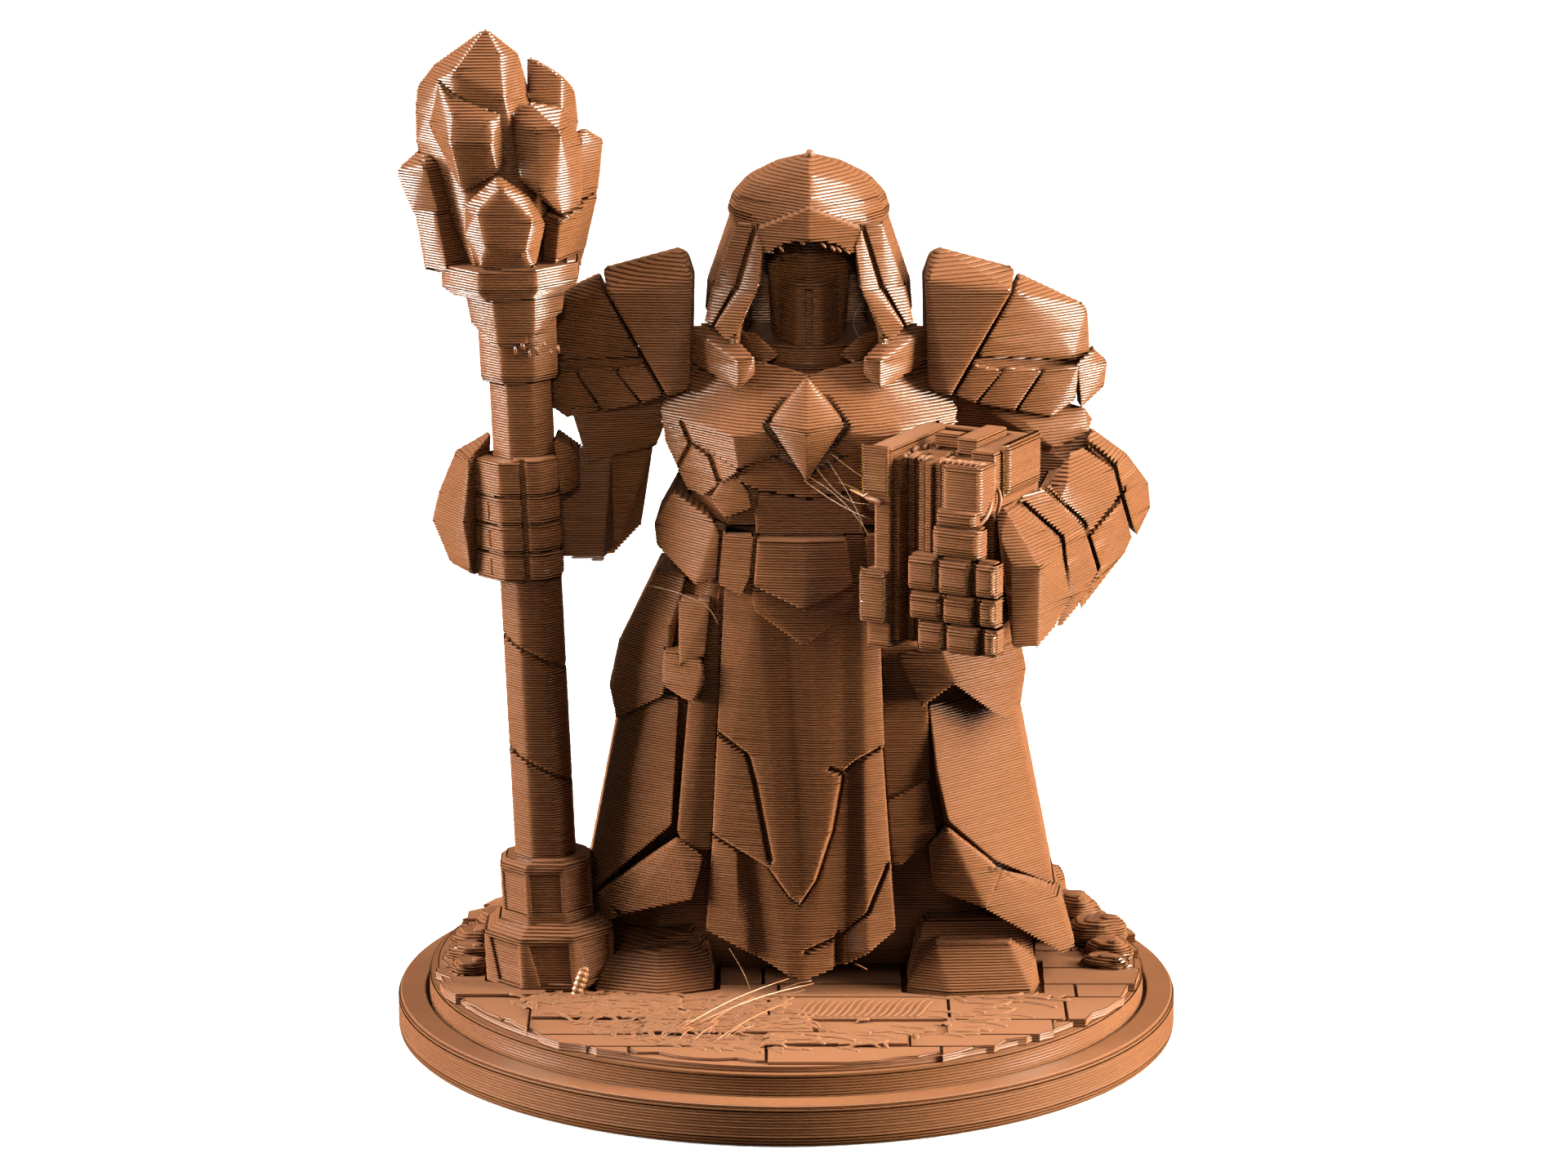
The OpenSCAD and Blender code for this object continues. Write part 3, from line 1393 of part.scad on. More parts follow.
module book_covers() {
    color(print_brown) difference() {
        union() {
            on_book() {
                difference() {
                    cube([cover, book_d, book_h]);
                    // worn stretch of the edge above the lower clasp
                    translate([-0.1, -0.1, 3.2]) cube([0.42, 0.7, 2.6]);
                }
                translate([book_w - cover, 1.2, 0]) cube([cover, book_d - 1.2, book_h]);
                translate([0, book_d - 0.45, 0]) cube([book_w, 0.45, book_h]);
            }
        }
        left_hand_shape();
        torso_shape();
    }
}

// Raised clasps and straps on the corners of the covers
module book_straps() {
    color(print_light) difference() {
        on_book() {
            translate([-0.12, -0.14, 6.2]) cube([1.1, 0.13, 1.9]);
            hull() {
                translate([-0.2, -0.2, 1.1]) cube([1.2, 0.19, 2.1]);
                translate([-0.05, -0.32, 1.25]) cube([0.95, 0.19, 1.8]);
            }
            hull() {
                translate([book_w - 1.6, -0.02, 5.7]) cube([1.7, 1.2, 2]);
                translate([book_w - 1.4, -0.3, 5.9]) cube([1.35, 0.3, 1.7]);
            }
            hull() {
                translate([book_w, 1.8, 6.2]) cube([0.1, 3.1, 2]);
                translate([book_w + 0.1, 2, 6.4]) cube([0.2, 2.7, 1.7]);
            }
            translate([book_w - cover - 0.9, 1.8, book_h - 0.4]) cube([0.9, 2.7, 0.75]);
            translate([book_w - cover - 2.3, 2.6, book_h - 0.4]) cube([1.2, 0.8, 0.6]);
        }
        left_hand_shape();
    }
}

base_rim();
base_plinth();
paving();
rubble_left();
rubble_right();
right_boot();
left_boot();
robe_core();
robe_panel_right();
robe_panel_left();
robe_hem_right();
robe_hem_left();
tabard();
tabard_layer_right();
tabard_layer_left();
hip_plate_right();
hip_plate_left();
hip_pouch();
belt();
belt_plate_centre();
belt_plate_second();
belt_plates_small();
belt_plate_right();
belt_plate_left();
torso();
abdomen_plates();
chest_plate_right();
chest_plate_left();
side_plates();
chest_gem();
collar_right();
collar_left();
neck_ring();
helmet();
visor();
hood();
hood_rim();
pauldron_inner_right();
pauldron_outer_right();
pauldron_band_right();
pauldron_inner_left();
pauldron_outer_left();
pauldron_band_left();
right_arm();
right_hand();
right_fingers();
left_arm();
left_elbow_plates();
left_hand();
left_fingers();
staff_shaft();
staff_pommel();
staff_sleeves();
staff_cup();
crystal_main();
crystals_upper();
crystals_lower();
book_pages();
book_covers();
book_straps();
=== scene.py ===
import math
import random
from bisect import bisect_left

import bmesh
import bpy
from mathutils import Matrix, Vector, noise
from mathutils.bvhtree import BVHTree


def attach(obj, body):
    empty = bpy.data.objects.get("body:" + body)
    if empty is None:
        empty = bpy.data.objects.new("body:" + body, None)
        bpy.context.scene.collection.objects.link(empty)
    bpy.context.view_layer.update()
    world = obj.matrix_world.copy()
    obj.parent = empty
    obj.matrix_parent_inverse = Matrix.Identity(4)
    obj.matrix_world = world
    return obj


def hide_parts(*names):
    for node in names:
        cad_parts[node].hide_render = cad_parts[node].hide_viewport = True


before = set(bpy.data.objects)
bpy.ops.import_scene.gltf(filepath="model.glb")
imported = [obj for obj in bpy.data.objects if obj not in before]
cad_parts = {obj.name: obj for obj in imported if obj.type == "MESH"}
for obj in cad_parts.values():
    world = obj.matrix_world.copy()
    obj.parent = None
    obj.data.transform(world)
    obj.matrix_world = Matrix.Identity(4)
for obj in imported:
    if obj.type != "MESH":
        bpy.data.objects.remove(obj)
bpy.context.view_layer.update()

MM = 0.001                      # the frame is in metres; lengths on the figure are in millimetres
BASE_LAYER = 0.12               # layer height in the base
BASE_LAYERS = 22
FIGURE_LAYER = 0.106            # layer height above the base
TOP = 42.4                      # the layers reach a little above the staff
BEAD_INSET = 0.055              # depth of the groove between two printed layers
GROOVES = (0.9, 1.3)            # how much the depth of the grooves varies
LAYER_SHIFT = 0.012             # how far in a whole layer may lie
WOBBLE = 0.005                  # how far a printed layer strays in or out
PAVING_DEPTH = 0.5              # the grooves in the paving are shallower
CREASE = math.radians(22)       # an upright edge sharper than this stays sharp
HARD_EDGE = math.radians(50)    # so does any edge sharper than this
TINY = 1e-3                     # a vertex this near to a cut is moved off it

bounds_z = [BASE_LAYER * i for i in range(BASE_LAYERS + 1)]
while bounds_z[-1] < TOP:
    bounds_z.append(bounds_z[-1] + FIGURE_LAYER)
mid_z = [(a + b) / 2 for a, b in zip(bounds_z, bounds_z[1:])]

# no two layers are alike: some lie further in, some have deeper grooves
layer_rng = random.Random(8)
layer_shift = [layer_rng.uniform(-LAYER_SHIFT, 0.0) for _ in mid_z]
layer_groove = [BEAD_INSET * layer_rng.uniform(*GROOVES) for _ in mid_z]


# ---------------------------------------------------------------- mesh helpers

def node_mesh(node):
    """A CAD node's mesh in millimetres, with flat faces merged into single polygons."""
    bm = bmesh.new()
    bm.from_mesh(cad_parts[node].data)
    bmesh.ops.scale(bm, vec=(1 / MM,) * 3, verts=bm.verts)
    bmesh.ops.remove_doubles(bm, verts=bm.verts, dist=1e-4)
    bmesh.ops.dissolve_limit(bm, angle_limit=math.radians(0.5), verts=bm.verts, edges=bm.edges,
                             delimit=set())
    bm.normal_update()
    return bm


def soften(bm, width, segments=2):
    """Rounds the outward creases, as the width of the printed line does."""
    before = bm.copy()
    tree = BVHTree.FromBMesh(before)
    edges = [e for e in bm.edges
             if len(e.link_faces) == 2 and e.is_convex and e.calc_face_angle(0) > CREASE
             and e.calc_length() > width * 1.5]
    if edges:
        bmesh.ops.bevel(bm, geom=edges, offset=width, offset_type="OFFSET", segments=segments,
                        profile=0.5, affect="EDGES", clamp_overlap=False)
        for v in bm.verts:
            at, normal, _, far = tree.find_nearest(v.co)
            side = (v.co - at).dot(normal)
            if side > 1e-3 or far > width:
                v.co = at
        bmesh.ops.remove_doubles(bm, verts=bm.verts, dist=2e-3)
        bmesh.ops.dissolve_degenerate(bm, edges=bm.edges, dist=1e-3)
    bm.normal_update()
    closed = all(len(e.link_faces) == 2 for e in bm.edges)
    if closed and 0.8 < bm.calc_volume() / before.calc_volume() < 1.02:
        before.free()
        return bm
    bm.free()
    before.normal_update()
    if width > 0.06:
        return soften(before, width / 2, segments)
    return before


def outward(v):
    """Horizontal direction out of the surface at a vertex, stretched at a corner like a mitre."""
    dirs = []
    for f in v.link_faces:
        d = Vector((f.normal.x, f.normal.y))
        if d.length > 0.05:
            dirs.append(d.normalized())
    if not dirs:
        return Vector((0, 0))
    total = sum(dirs, Vector((0, 0)))
    if total.length < 1e-3:
        return Vector((0, 0))
    total.normalize()
    fit = min(total.dot(d) for d in dirs)
    return total / max(fit, 0.6)


def printed(bm, depth=1.0):
    """Turns a smooth closed mesh into one made of printed layers; depth scales the grooves.

    The mesh is cut at the middle height of every layer. Each cut becomes an upright bead with a
    groove above and below it, and what lies between two cuts becomes the flat tread between beads.
    """
    lo = min(v.co.z for v in bm.verts)
    hi = max(v.co.z for v in bm.verts)
    cuts = [z for z in mid_z if lo + TINY < z < hi - TINY]
    for v in bm.verts:
        for z in cuts:
            if abs(v.co.z - z) < TINY / 2:
                v.co.z += TINY
    for z in cuts:
        live = [f for f in bm.faces if f.calc_center_bounds().z > z - 3
                and max(v.co.z for v in f.verts) > z > min(v.co.z for v in f.verts)]
        edges = {e for f in live for e in f.edges}
        verts = {v for f in live for v in f.verts}
        bmesh.ops.bisect_plane(bm, geom=list(verts) + list(edges) + live, dist=1e-5,
                               plane_co=(0, 0, z), plane_no=(0, 0, 1))
    bm.normal_update()
    bm.verts.index_update()

    level = {}
    step = 0
    for v in sorted(bm.verts, key=lambda v: v.co.z):
        while step < len(mid_z) and mid_z[step] < v.co.z - 1e-4:
            step += 1
        if step < len(mid_z) and abs(mid_z[step] - v.co.z) < 1e-4:
            level[v] = step

    new_co, copies, snapped = [], {}, {}

    def add(x, y, z):
        new_co.append((x * MM, y * MM, z * MM))
        return len(new_co) - 1

    for v, k in level.items():
        out = outward(v)
        n = out * layer_groove[k] * depth
        z0, z1 = bounds_z[k], bounds_z[k + 1]
        h = z1 - z0
        wobble = WOBBLE * noise.noise(Vector((v.co.x * 2.3, v.co.y * 2.3, k * 7.3))) + layer_shift[k]
        x, y = v.co.x + out.x * wobble, v.co.y + out.y * wobble
        copies[v] = [
            add(x - n.x, y - n.y, z0), add(x, y, z0 + 0.3 * h),
            add(x, y, z1 - 0.3 * h), add(x - n.x, y - n.y, z1),
        ]

    faces = []
    band_of = {}
    for f in bm.faces:
        zc = (min(v.co.z for v in f.verts) + max(v.co.z for v in f.verts)) / 2
        b = bisect_left(mid_z, zc)          # the tread lies on bounds_z[b]
        band_of[f] = b
        ids = []
        for v in f.verts:
            if v in level:
                ids.append(copies[v][0] if level[v] == b else copies[v][3])
            else:
                if v not in snapped:
                    snapped[v] = add(v.co.x, v.co.y, bounds_z[b])
                ids.append(snapped[v])
        faces.append(ids)

    for e in bm.edges:
        a, b = e.verts
        if a in level and b in level and level[a] == level[b] and len(e.link_faces) == 2:
            f0, f1 = e.link_faces
            if band_of[f0] == band_of[f1]:
                continue
            up = f0 if band_of[f0] > band_of[f1] else f1
            loop = next(l for l in up.loops if l.edge == e)
            p, q = loop.vert, loop.link_loop_next.vert
            cp, cq = copies[p], copies[q]
            for i in range(3):
                faces.append([cp[i], cq[i], cq[i + 1], cp[i + 1]])
    return new_co, faces


def build(name, data, material, node=None):
    """Makes an object of printed mesh data and lets it stand for its CAD node."""
    co, faces = data
    mesh = bpy.data.meshes.new(name)
    clean = []
    for f in faces:
        ring = [i for n, i in enumerate(f) if i != f[n - 1]]
        if len(set(ring)) >= 3:
            clean.append(ring)
    mesh.from_pydata(co, [], clean)
    mesh.validate()
    mesh.polygons.foreach_set("use_smooth", [True] * len(mesh.polygons))
    bm = bmesh.new()
    bm.from_mesh(mesh)
    for e in bm.edges:
        if len(e.link_faces) != 2:
            continue
        if e.calc_face_angle(0) > HARD_EDGE:
            e.smooth = False
        d0, d1 = (Vector((f.normal.x, f.normal.y)) for f in e.link_faces)
        upright = abs(e.verts[0].co.z - e.verts[1].co.z) > 1e-6
        if upright and d0.length > 0.3 and d1.length > 0.3 and d0.angle(d1) > CREASE:
            e.smooth = False
    bm.to_mesh(mesh)
    bm.free()
    obj = bpy.data.objects.new(name, mesh)
    bpy.context.scene.collection.objects.link(obj)
    mesh.materials.append(material)
    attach(obj, "root")
    if node:
        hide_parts(node)
    return obj


# ---------------------------------------------------------------- material

def shader_node(nt, kind, inputs=None, **settings):
    """Adds a shader node of a kind, with its settings and the values of its inputs."""
    node = nt.nodes.new("ShaderNode" + kind)
    for key, value in settings.items():
        setattr(node, key, value)
    for key, value in (inputs or {}).items():
        node.inputs[key].default_value = value
    return node


def filament(name, dull=0.0):
    """Brown filament; dull is added to its roughness and taken off its gloss."""
    mat = bpy.data.materials.new(name)
    mat.use_nodes = True
    nt = mat.node_tree
    nt.nodes.clear()
    link = nt.links.new
    out = shader_node(nt, "OutputMaterial")
    bsdf = shader_node(nt, "BsdfPrincipled", {
        "Specular IOR Level": 0.66 - dull,
        "IOR": 1.46,
        "Subsurface Weight": 0.12,
        "Subsurface Scale": 0.0006,
        "Subsurface Radius": (1.0, 0.45, 0.2),
    })
    link(bsdf.outputs[0], out.inputs[0])
    coord = shader_node(nt, "TexCoord").outputs["Object"]

    # colour: slow mottling plus a little change from layer to layer
    slow = shader_node(nt, "TexNoise", {"Scale": 220, "Detail": 3})
    link(coord, slow.inputs["Vector"])
    flat = shader_node(nt, "Mapping", {"Scale": (160, 160, 9400)})
    link(coord, flat.inputs["Vector"])
    lay = shader_node(nt, "TexNoise", {"Scale": 1, "Detail": 2})
    link(flat.outputs[0], lay.inputs["Vector"])
    both = shader_node(nt, "Math", {1: 0.35}, operation="MULTIPLY_ADD")
    link(lay.outputs["Fac"], both.inputs[0])
    link(slow.outputs["Fac"], both.inputs[2])
    centred = shader_node(nt, "Math", {1: 0.74}, operation="MULTIPLY")
    link(both.outputs[0], centred.inputs[0])
    ramp = shader_node(nt, "ValToRGB")
    dark, pale = ramp.color_ramp.elements
    dark.position, dark.color = 0.25, (0.116, 0.0425, 0.0140, 1)
    pale.position, pale.color = 0.75, (0.142, 0.0540, 0.0182, 1)
    link(centred.outputs[0], ramp.inputs[0])
    link(ramp.outputs[0], bsdf.inputs["Base Color"])

    # the flat treads: 1 where the surface faces up, otherwise 0
    true_normal = shader_node(nt, "NewGeometry").outputs["True Normal"]
    split = shader_node(nt, "SeparateXYZ")
    link(true_normal, split.inputs[0])
    tread = shader_node(nt, "Math", {1: 0.8}, operation="GREATER_THAN")
    link(split.outputs["Z"], tread.inputs[0])

    # roughness follows the layer noise; the treads are duller than the walls
    rough = shader_node(nt, "MapRange", {"To Min": 0.20 + dull, "To Max": 0.27 + dull})
    link(lay.outputs["Fac"], rough.inputs["Value"])
    duller = shader_node(nt, "Math", {1: 0.26}, operation="MULTIPLY_ADD")
    link(tread.outputs[0], duller.inputs[0])
    link(rough.outputs[0], duller.inputs[2])
    link(duller.outputs[0], bsdf.inputs["Roughness"])

    # fine bump: grit everywhere, and crossing strokes on the treads
    turn = shader_node(nt, "Mapping", {"Rotation": (0, 0, math.radians(45))})
    link(coord, turn.inputs["Vector"])
    wave = shader_node(nt, "TexWave", {
        "Scale": 1000 / 0.38 / 20, "Distortion": 1.2, "Detail": 2, "Detail Scale": 2,
    })
    link(turn.outputs[0], wave.inputs["Vector"])
    strokes = shader_node(nt, "Math", operation="MULTIPLY")
    link(wave.outputs["Fac"], strokes.inputs[0])
    link(tread.outputs[0], strokes.inputs[1])
    fine = shader_node(nt, "Mapping", {"Scale": (2600, 2600, 9000)})
    link(coord, fine.inputs["Vector"])
    grit = shader_node(nt, "TexNoise", {"Scale": 1, "Detail": 3})
    link(fine.outputs[0], grit.inputs["Vector"])
    height = shader_node(nt, "Math", {1: 0.25}, operation="MULTIPLY_ADD")
    link(grit.outputs["Fac"], height.inputs[0])
    link(strokes.outputs[0], height.inputs[2])
    bump = shader_node(nt, "Bump", {"Strength": 0.5, "Distance": 0.00002})
    link(height.outputs[0], bump.inputs["Height"])
    link(bump.outputs[0], bsdf.inputs["Normal"])
    return mat


pla = filament("brown_filament")
pla_dull = filament("brown_filament_strokes", 0.28)


# ---------------------------------------------------------------- the figure

CORNER = 0.1                    # width of the rounded creases, unless the node is in ROUND
ROUND = {
    "base_plinth": 0.12, "paving": 0.0, "hood": 0.12, "neck_ring": 0.08, "right_fingers": 0.12,
    "book_pages": 0.05, "visor": 0.07, "chest_gem": 0.08, "rubble_left": 0.12, "rubble_right": 0.12,
    "crystal_main": 0.15, "crystals_upper": 0.15, "crystals_lower": 0.15,
    "pauldron_inner_left": 0.15, "pauldron_inner_right": 0.15,
    "pauldron_outer_left": 0.15, "pauldron_outer_right": 0.15,
    "side_plates": 0.05, "abdomen_plates": 0.06, "tabard": 0.07, "staff_pommel": 0.07,
    "staff_sleeves": 0.07,
}


def printed_node(node):
    bm = node_mesh(node)
    width = ROUND.get(node, CORNER)
    if width > 0:
        bm = soften(bm, width)
    data = printed(bm, PAVING_DEPTH if node == "paving" else 1.0)
    bm.free()
    return build("print_" + node, data, pla_dull if node == "paving" else pla, node)


for node in sorted(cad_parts):
    printed_node(node)


# ---------------------------------------------------------------- stray filament

def hair_material():
    mat = bpy.data.materials.new("filament_hair")
    mat.use_nodes = True
    nt = mat.node_tree
    bsdf = nt.nodes["Principled BSDF"]
    coord = shader_node(nt, "TexCoord")
    tone = shader_node(nt, "TexNoise", {"Scale": 900})
    nt.links.new(coord.outputs["Object"], tone.inputs["Vector"])
    ramp = shader_node(nt, "ValToRGB")
    ramp.color_ramp.elements[0].color = (0.16, 0.07, 0.026, 1)
    ramp.color_ramp.elements[1].color = (0.27, 0.13, 0.055, 1)
    nt.links.new(tone.outputs["Fac"], ramp.inputs[0])
    nt.links.new(ramp.outputs[0], bsdf.inputs["Base Color"])
    bsdf.inputs["Roughness"].default_value = 0.3
    bsdf.inputs["Subsurface Weight"].default_value = 0.3
    bsdf.inputs["Subsurface Scale"].default_value = 0.0004
    return mat


hair = hair_material()
rng = random.Random(4)


def tube(bm, points, radii, sides=6, flat=1.0):
    """Closed round strand through the points; flat squashes it in height."""
    rings = []
    for i, at in enumerate(points):
        a, b = points[max(i - 1, 0)], points[min(i + 1, len(points) - 1)]
        along = (b - a).normalized()
        side = along.cross(Vector((0, 0, 1)))
        side = Vector((1, 0, 0)) if side.length < 0.05 else side.normalized()
        up = side.cross(along).normalized()
        ring = []
        for k in range(sides):
            t = 2 * math.pi * k / sides
            d = (side * math.cos(t) + up * math.sin(t) * flat) * radii[i]
            ring.append(bm.verts.new((at + d) * MM))
        rings.append(ring)
    for r0, r1 in zip(rings, rings[1:]):
        for k in range(sides):
            bm.faces.new((r0[k], r0[(k + 1) % sides], r1[(k + 1) % sides], r1[k]))
    bm.faces.new(rings[0][::-1])
    bm.faces.new(rings[-1])


def bend(start, end, sag, steps=8):
    """Points from start to end with the middle moved by sag."""
    a, b, m = Vector(start), Vector(end), Vector(sag)
    return [a.lerp(b, i / steps) + m * math.sin(math.pi * i / steps) for i in range(steps + 1)]


def strands(name, node, curves, material, thin=1.0):
    """One object for several strands; each is (points, radius, flat)."""
    bm = bmesh.new()
    for points, radius, flat in curves:
        n = len(points) - 1
        radii = [radius * thin * (0.35 + 0.65 * math.sin(math.pi * min(max(i / n, 0.06), 0.94)) ** 0.4)
                 for i in range(n + 1)]
        tube(bm, points, radii, flat=flat)
    bmesh.ops.recalc_face_normals(bm, faces=bm.faces)
    mesh = bpy.data.meshes.new(name)
    bm.to_mesh(mesh)
    bm.free()
    mesh.polygons.foreach_set("use_smooth", [True] * len(mesh.polygons))
    obj = bpy.data.objects.new(name, mesh)
    bpy.context.scene.collection.objects.link(obj)
    mesh.materials.append(material)
    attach(obj, "root")
    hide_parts(node)
    return obj


def height_on(tree, x, y, default):
    """Height of the printed surface: that of the CAD, moved to the nearest layer boundary."""
    hit = tree.ray_cast(Vector((x, y, 20)), Vector((0, 0, -1)))[0]
    return bounds_z[bisect_left(mid_z, hit.z if hit else default)]


def height_over(tree, x, y, default, reach=0.14):
    """The highest printed surface near a place, so that a stroke bridges the joints."""
    return max(height_on(tree, x + dx, y + dy, default) for dx in (-reach, reach) for dy in (-reach, reach))


bm_floor = node_mesh("paving")
floor_tree = BVHTree.FromBMesh(bm_floor)
bm_floor.free()

# curled strokes left on the planks, thickest at the front of the staff's side
curls = []
for i in range(700):
    wide = i % 5 < 2
    x = rng.uniform(-13, 13) if wide else rng.uniform(-12.5, -0.5)
    y = rng.uniform(-12.5, -5.6)
    if math.hypot(x, y) > 12.9 or (x + 9.4) ** 2 + (y + 2.5) ** 2 < 9 or (0 < x < 5.5 and -8.8 < y < -5.8):
        continue
    turn = rng.uniform(-0.4, 0.4) if wide else rng.uniform(-0.8, 0.8)
    curve = rng.uniform(-1.6, 1.6)
    length = rng.uniform(0.5, 1.8)
    radius = rng.uniform(0.08, 0.16)
    points = []
    px, py = x, y
    steps = 7
    for k in range(steps + 1):
        points.append(Vector((px, py, height_over(floor_tree, px, py, 2.85) + radius * 0.05)))
        px += math.cos(turn) * length / steps
        py += math.sin(turn) * length / steps
        turn += curve / steps
        if math.hypot(px, py) > 13.1:
            break
    if len(points) > 3:
        curls.append((points, radius, 0.42))
# slanted strokes that fill one wide plank
for i in range(17):
    x = 0.35 + i * 0.3
    reach = rng.uniform(1.9, 2.3)
    a = Vector((x, -8.45, 0))
    b = Vector((x + 0.75, -8.45 + reach, 0))
    line = [a.lerp(b, k / 6) for k in range(7)]
    curls.append(([Vector((p.x + 0.05 * math.sin(k), p.y, height_on(floor_tree, p.x, p.y, 2.85) + 0.02))
                   for k, p in enumerate(line)], 0.07, 0.6))
strands("paving_strokes", "paving", curls, pla_dull)

# hairs between the hem of the tabard and the planks
hairs = [
    (bend((-4.33, -10.4, 2.95), (0.07, -5.75, 3.6), (0, 0, 0.2)), 0.035, 1),
    (bend((-3.95, -10.1, 2.95), (1.1, -5.75, 3.4), (0.1, 0, 0.25)), 0.045, 1),
    (bend((-3.4, -10.4, 2.95), (-1.27, -6.9, 3.2), (0, 0.1, 0.1)), 0.035, 1),
    (bend((-2.83, -11.8, 2.95), (0.06, -7.3, 3.1), (0, 0, 0.15)), 0.045, 1),
    (bend((-2.3, -5.2, 4.7), (-1.42, -5.6, 3.0), (0.1, 0, -0.05)), 0.022, 1),
    (bend((-1.8, -6.2, 2.95), (0.1, -5.7, 3.6), (0, 0, 0.05)), 0.03, 1),
    (bend((-0.5, -5.9, 3.0), (1.0, -5.7, 3.5), (0, 0, 0.1)), 0.03, 1),
    (bend((2.75, -5.3, 4.1), (3.25, -5.6, 3.95), (0, 0, 0.02)), 0.03, 1),
]
for i in range(9):
    a = (-3.3 + rng.uniform(-1.2, 1.2), -10.6 + rng.uniform(-1.2, 1), 2.95)
    t = rng.uniform(0.1, 1.4)
    r = rng.uniform(0.6, 1.7)
    hairs.append((bend(a, (a[0] + r * math.cos(t), a[1] + r * math.sin(t), 3.0 + rng.uniform(0, 0.25)),
                       (0, 0, 0.1)), rng.uniform(0.02, 0.035), 1))
twist = []
for i in range(26):
    t = i / 25
    twist.append(Vector((-8.15 - 0.35 * t + 0.12 * math.cos(i * 1.25), -5.75 + 0.1 * math.sin(i * 1.25),
                         4.0 - 1.1 * t)))
hairs.append((twist, 0.27, 1))
strands("hairs_base", "paving", hairs, hair, 0.6)

# hairs from the diamond and the belly to the book
hairs = [
    (bend((0.68, -7.5, 24.6), (3.3, -10.45, 23.7), (0, -0.2, -0.1)), 0.022, 1),
    (bend((1.74, -7.2, 25.6), (3.3, -10.45, 25.2), (0.1, -0.1, -0.12)), 0.018, 1),
    (bend((1.2, -7.3, 25.0), (3.2, -10.4, 24.3), (0, -0.3, -0.35)), 0.02, 1),
    (bend((0.9, -7.4, 24.7), (3.2, -10.4, 23.1), (0.1, -0.2, 0.25)), 0.018, 1),
    (bend((1.6, -7.0, 25.3), (3.2, -10.4, 22.9), (0.1, -0.2, 0.1)), 0.016, 1),
    (bend((1.9, -6.9, 24.4), (3.2, -10.4, 24.6), (0, -0.3, 0.15)), 0.018, 1),
    (bend((2.5, -9.2, 24.6), (3.2, -10.4, 24.5), (0, -0.1, 0.05)), 0.13, 1),
    (bend((2.95, -10.2, 24.55), (3.25, -10.5, 24.9), (0.05, 0, 0)), 0.12, 1),
]
strands("hairs_book", "book_covers", hairs, hair, 0.5)

hairs = [
    (bend((3.12, -2.6, 30.87), (2.93, -3.1, 29.3), (-0.35, 0, 0)), 0.018, 1),
    (bend((-1.9, -3.2, 29.9), (-1.3, -3.6, 29.0), (0.1, 0, 0)), 0.016, 1),
    (bend((-3.3, -5.3, 19.1), (-2.7, -5.7, 18.3), (0.05, 0, 0.05)), 0.022, 1),
    (bend((-5.6, -3.6, 19.4), (-3.3, -5.4, 19.1), (0, 0, 0.1)), 0.016, 1),
]
strands("hairs_body", "neck_ring", hairs, hair, 0.8)


# drips under the front edge of the hood, and a blob where the print of the hood ended
MIDDLE = 0.9
drips = []
for t in (-0.85, -0.6, -0.15, 0.3, 0.52, 0.63, 0.8):
    x, y, z = MIDDLE + 1.8 * t, -4.5 + 0.6 * abs(t), 33.5 - 0.6 * abs(t)
    drop = rng.uniform(0.0, 0.12)
    drips.append((bend((x - 0.1, y + 0.1, z + 0.1), (x + rng.uniform(0.0, 0.2), y + 0.05, z - drop),
                       (0.02, -0.03, 0), 5), rng.uniform(0.05, 0.08), 1))
drips.append((bend((MIDDLE, -0.2, 36.1), (MIDDLE + 0.05, -0.3, 36.42), (0, 0, 0), 5), 0.2, 1))
strands("drips_hood", "hood_rim", drips, pla_dull)


def on_book(x, y, z):
    """A place on the book: x along the fore-edge, y into the book, z up."""
    turn = math.radians(-28)
    return Vector((3.1 + x * math.cos(turn) - y * math.sin(turn),
                   -10.5 + x * math.sin(turn) + y * math.cos(turn), 18.6 + z))


# bits of filament on the page block and the clasps
bits = []
for i in range(22):
    x = 1.1 + 2.2 * rng.random()
    y = 0.3 + rng.uniform(0, 1) ** 2 * 3.2
    along = rng.uniform(0.2, 0.7)
    bits.append((bend(on_book(x, y, 7.62), on_book(x + rng.uniform(-0.1, 0.1), y + along, 7.66),
                      (0, 0, 0.05), 5), rng.uniform(0.06, 0.12), 1))
for i in range(7):
    x = 3.2 + 0.25 * i
    bits.append((bend(on_book(x, 0.0, 7.7), on_book(x + 0.2, 0.35, 7.75), (0, 0, 0.04), 5),
                 rng.uniform(0.06, 0.1), 1))
bits.append((bend(on_book(4.95, 0.9, 6.3), on_book(4.7, -0.3, 5.3), (0.15, -0.1, -0.1), 6), 0.1, 1))
bits.append((bend(on_book(4.95, 1.4, 6.6), on_book(4.98, 1.2, 5.6), (0.12, 0, 0), 6), 0.09, 1))
bits.append((bend(on_book(-0.05, 0.1, 5.95), on_book(0.75, -0.1, 5.85), (0, -0.05, 0.05), 5), 0.12, 1))
strands("bits_book", "book_straps", bits, pla_dull)

# drips under the torn edge of the staff's sleeve
bits = []
for i in range(7):
    x, z = -10.72 + 0.28 * i, 29.1 + 0.18 * math.sin(2.1 * i)
    bits.append((bend((x, -4.1, z + 0.2), (x + 0.05, -4.12, z - rng.uniform(0.0, 0.2)), (0, -0.03, 0), 5),
                 rng.uniform(0.06, 0.1), 1))
strands("drips_sleeve", "staff_sleeves", bits, pla)


# ---------------------------------------------------------------- stage, light, camera

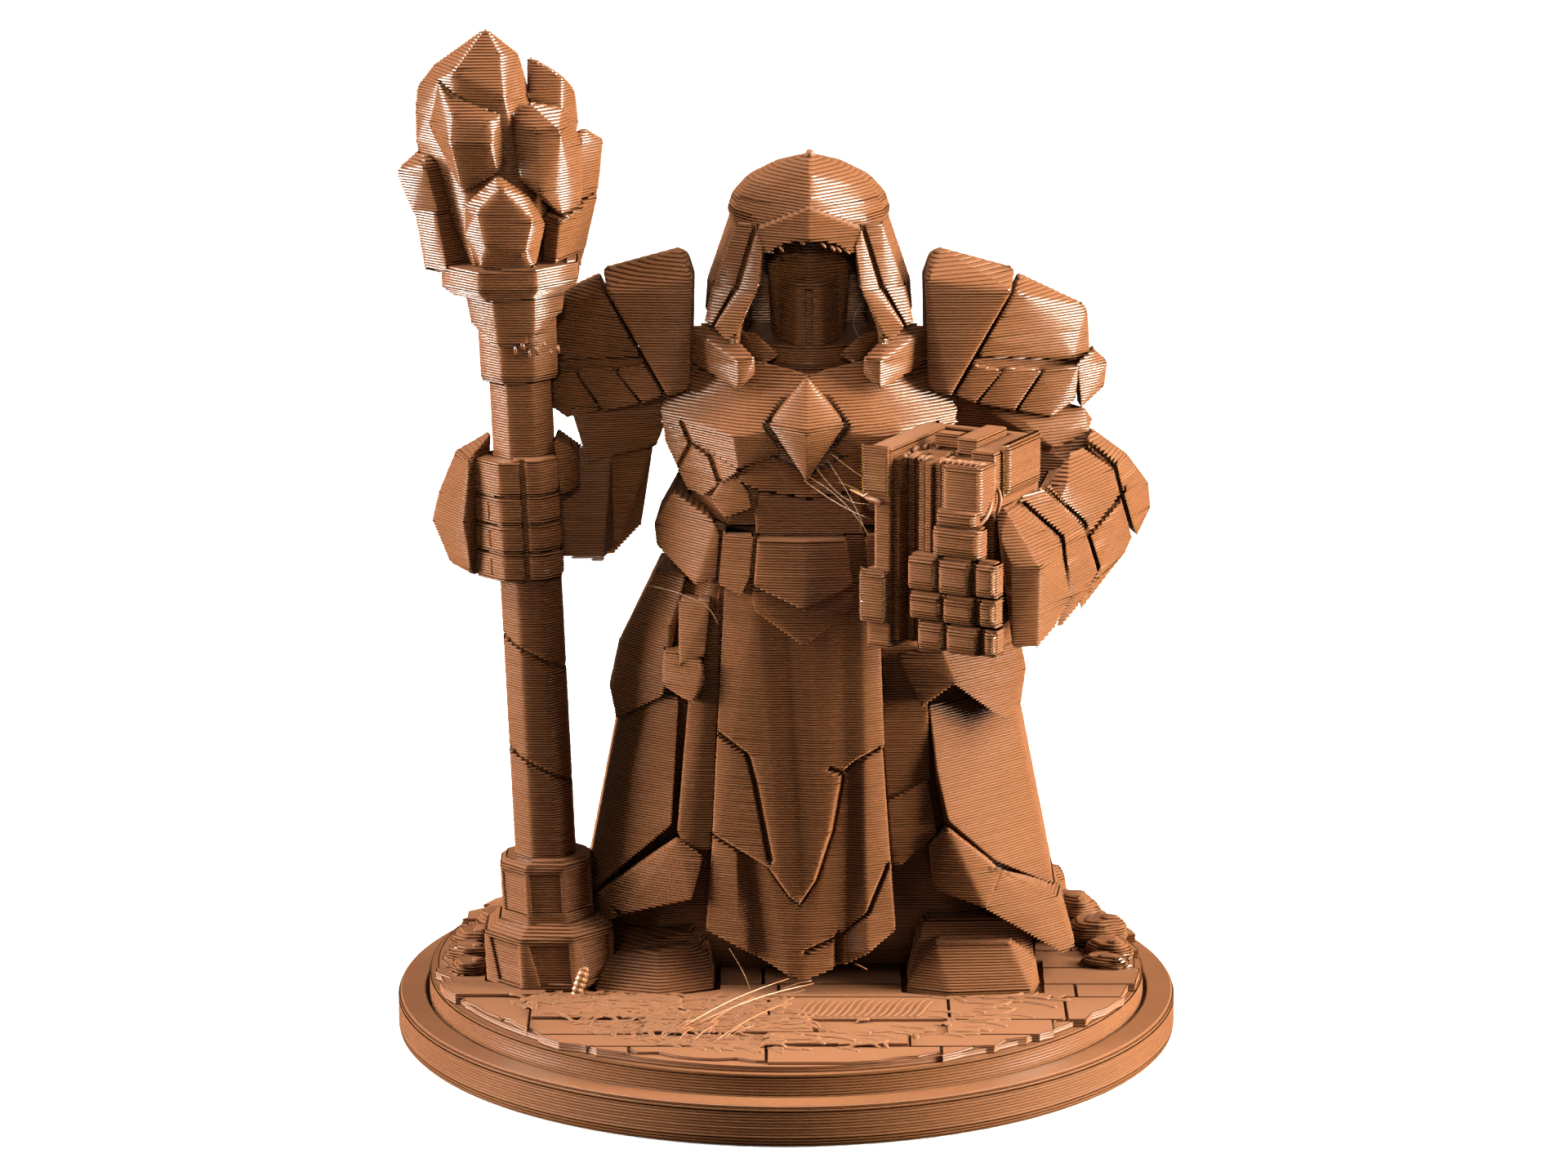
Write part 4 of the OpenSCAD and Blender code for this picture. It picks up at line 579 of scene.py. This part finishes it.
def plane(name, size, material):
    bm = bmesh.new()
    bmesh.ops.create_grid(bm, x_segments=1, y_segments=1, size=size / 2)
    mesh = bpy.data.meshes.new(name)
    bm.to_mesh(mesh)
    bm.free()
    obj = bpy.data.objects.new(name, mesh)
    bpy.context.scene.collection.objects.link(obj)
    mesh.materials.append(material)
    return obj


floor_mat = bpy.data.materials.new("floor")
floor_mat.use_nodes = True
fb = floor_mat.node_tree.nodes["Principled BSDF"]
fb.inputs["Base Color"].default_value = (0.86, 0.86, 0.86, 1)
fb.inputs["Roughness"].default_value = 0.9
floor = plane("floor", 4.0, floor_mat)
floor.visible_glossy = False
floor.visible_diffuse = False   # no bounce, so that the front faces stay in shade


def lamp(name, kind, at, aim, power, colour):
    """A light in metres, turned towards its aim."""
    light = bpy.data.lights.new(name, kind)
    light.energy = power
    light.color = colour
    obj = bpy.data.objects.new(name, light)
    obj.location = at
    obj.rotation_euler = (Vector(aim) - Vector(at)).to_track_quat("-Z", "Y").to_euler()
    bpy.context.scene.collection.objects.link(obj)
    return light


def area(name, at, aim, size, power, colour):
    """A soft rectangular light."""
    light = lamp(name, "AREA", at, aim, power, colour)
    light.shape = "RECTANGLE"
    light.size, light.size_y = size


target = (0, 0, 0.022)
area("key_low", (0.30, -0.035, 0.06), target, (0.12, 0.18), 6.0, (1.0, 0.93, 0.82))
area("key_high", (0.25, -0.01, 0.22), target, (0.12, 0.22), 3.0, (1.0, 0.92, 0.80))
area("left_low", (-0.31, -0.01, 0.06), target, (0.12, 0.16), 4.2, (1.0, 0.94, 0.88))
area("left_high", (-0.21, -0.01, 0.25), target, (0.08, 0.20), 2.0, (1.0, 0.94, 0.88))
area("fill_left", (-0.14, -0.24, 0.20), target, (0.08, 0.12), 0.12, (1.0, 0.95, 0.90))
area("top", (0.03, -0.03, 0.36), target, (0.20, 0.10), 0.3, (1.0, 0.94, 0.86))
area("front_fill", (0.05, -0.60, 0.10), target, (0.10, 0.20), 0.18, (1.0, 0.95, 0.88))


def snoot(name, at, aim, width, power, colour):
    """A narrow spot light that only reaches a place of the given width."""
    light = lamp(name, "SPOT", at, aim, power, colour)
    light.spot_size = 2 * math.atan(width / 2 / (Vector(aim) - Vector(at)).length)
    light.spot_blend = 0.7
    light.shadow_soft_size = 0.012


snoot("kick_shoulder", (-0.01, -0.35, 0.15), (-0.0068, -0.002, 0.0285), 0.012, 16, (1.0, 0.93, 0.84))
snoot("kick_visor", (0.03, -0.50, 0.05), (0.0009, -0.002, 0.0302), 0.005, 12, (1.0, 0.93, 0.84))

world = bpy.data.worlds.new("studio")
bpy.context.scene.world = world
world.use_nodes = True
world.node_tree.nodes["Background"].inputs[0].default_value = (1.0, 0.98, 0.96, 1)
world.node_tree.nodes["Background"].inputs[1].default_value = 0.04
bpy.context.scene.view_settings.view_transform = "Standard"

cam_data = bpy.data.cameras.new("camera")
cam_data.lens = 134.2
cam_data.sensor_width = 36
cam_data.clip_start = 0.01
cam_data.clip_end = 10
cam = bpy.data.objects.new("camera", cam_data)
cam.location = (-0.000093, -0.230579, 0.075331)
cam.rotation_euler = (math.radians(90 - 13.87), 0, 0)
bpy.context.scene.collection.objects.link(cam)
bpy.context.scene.camera = cam
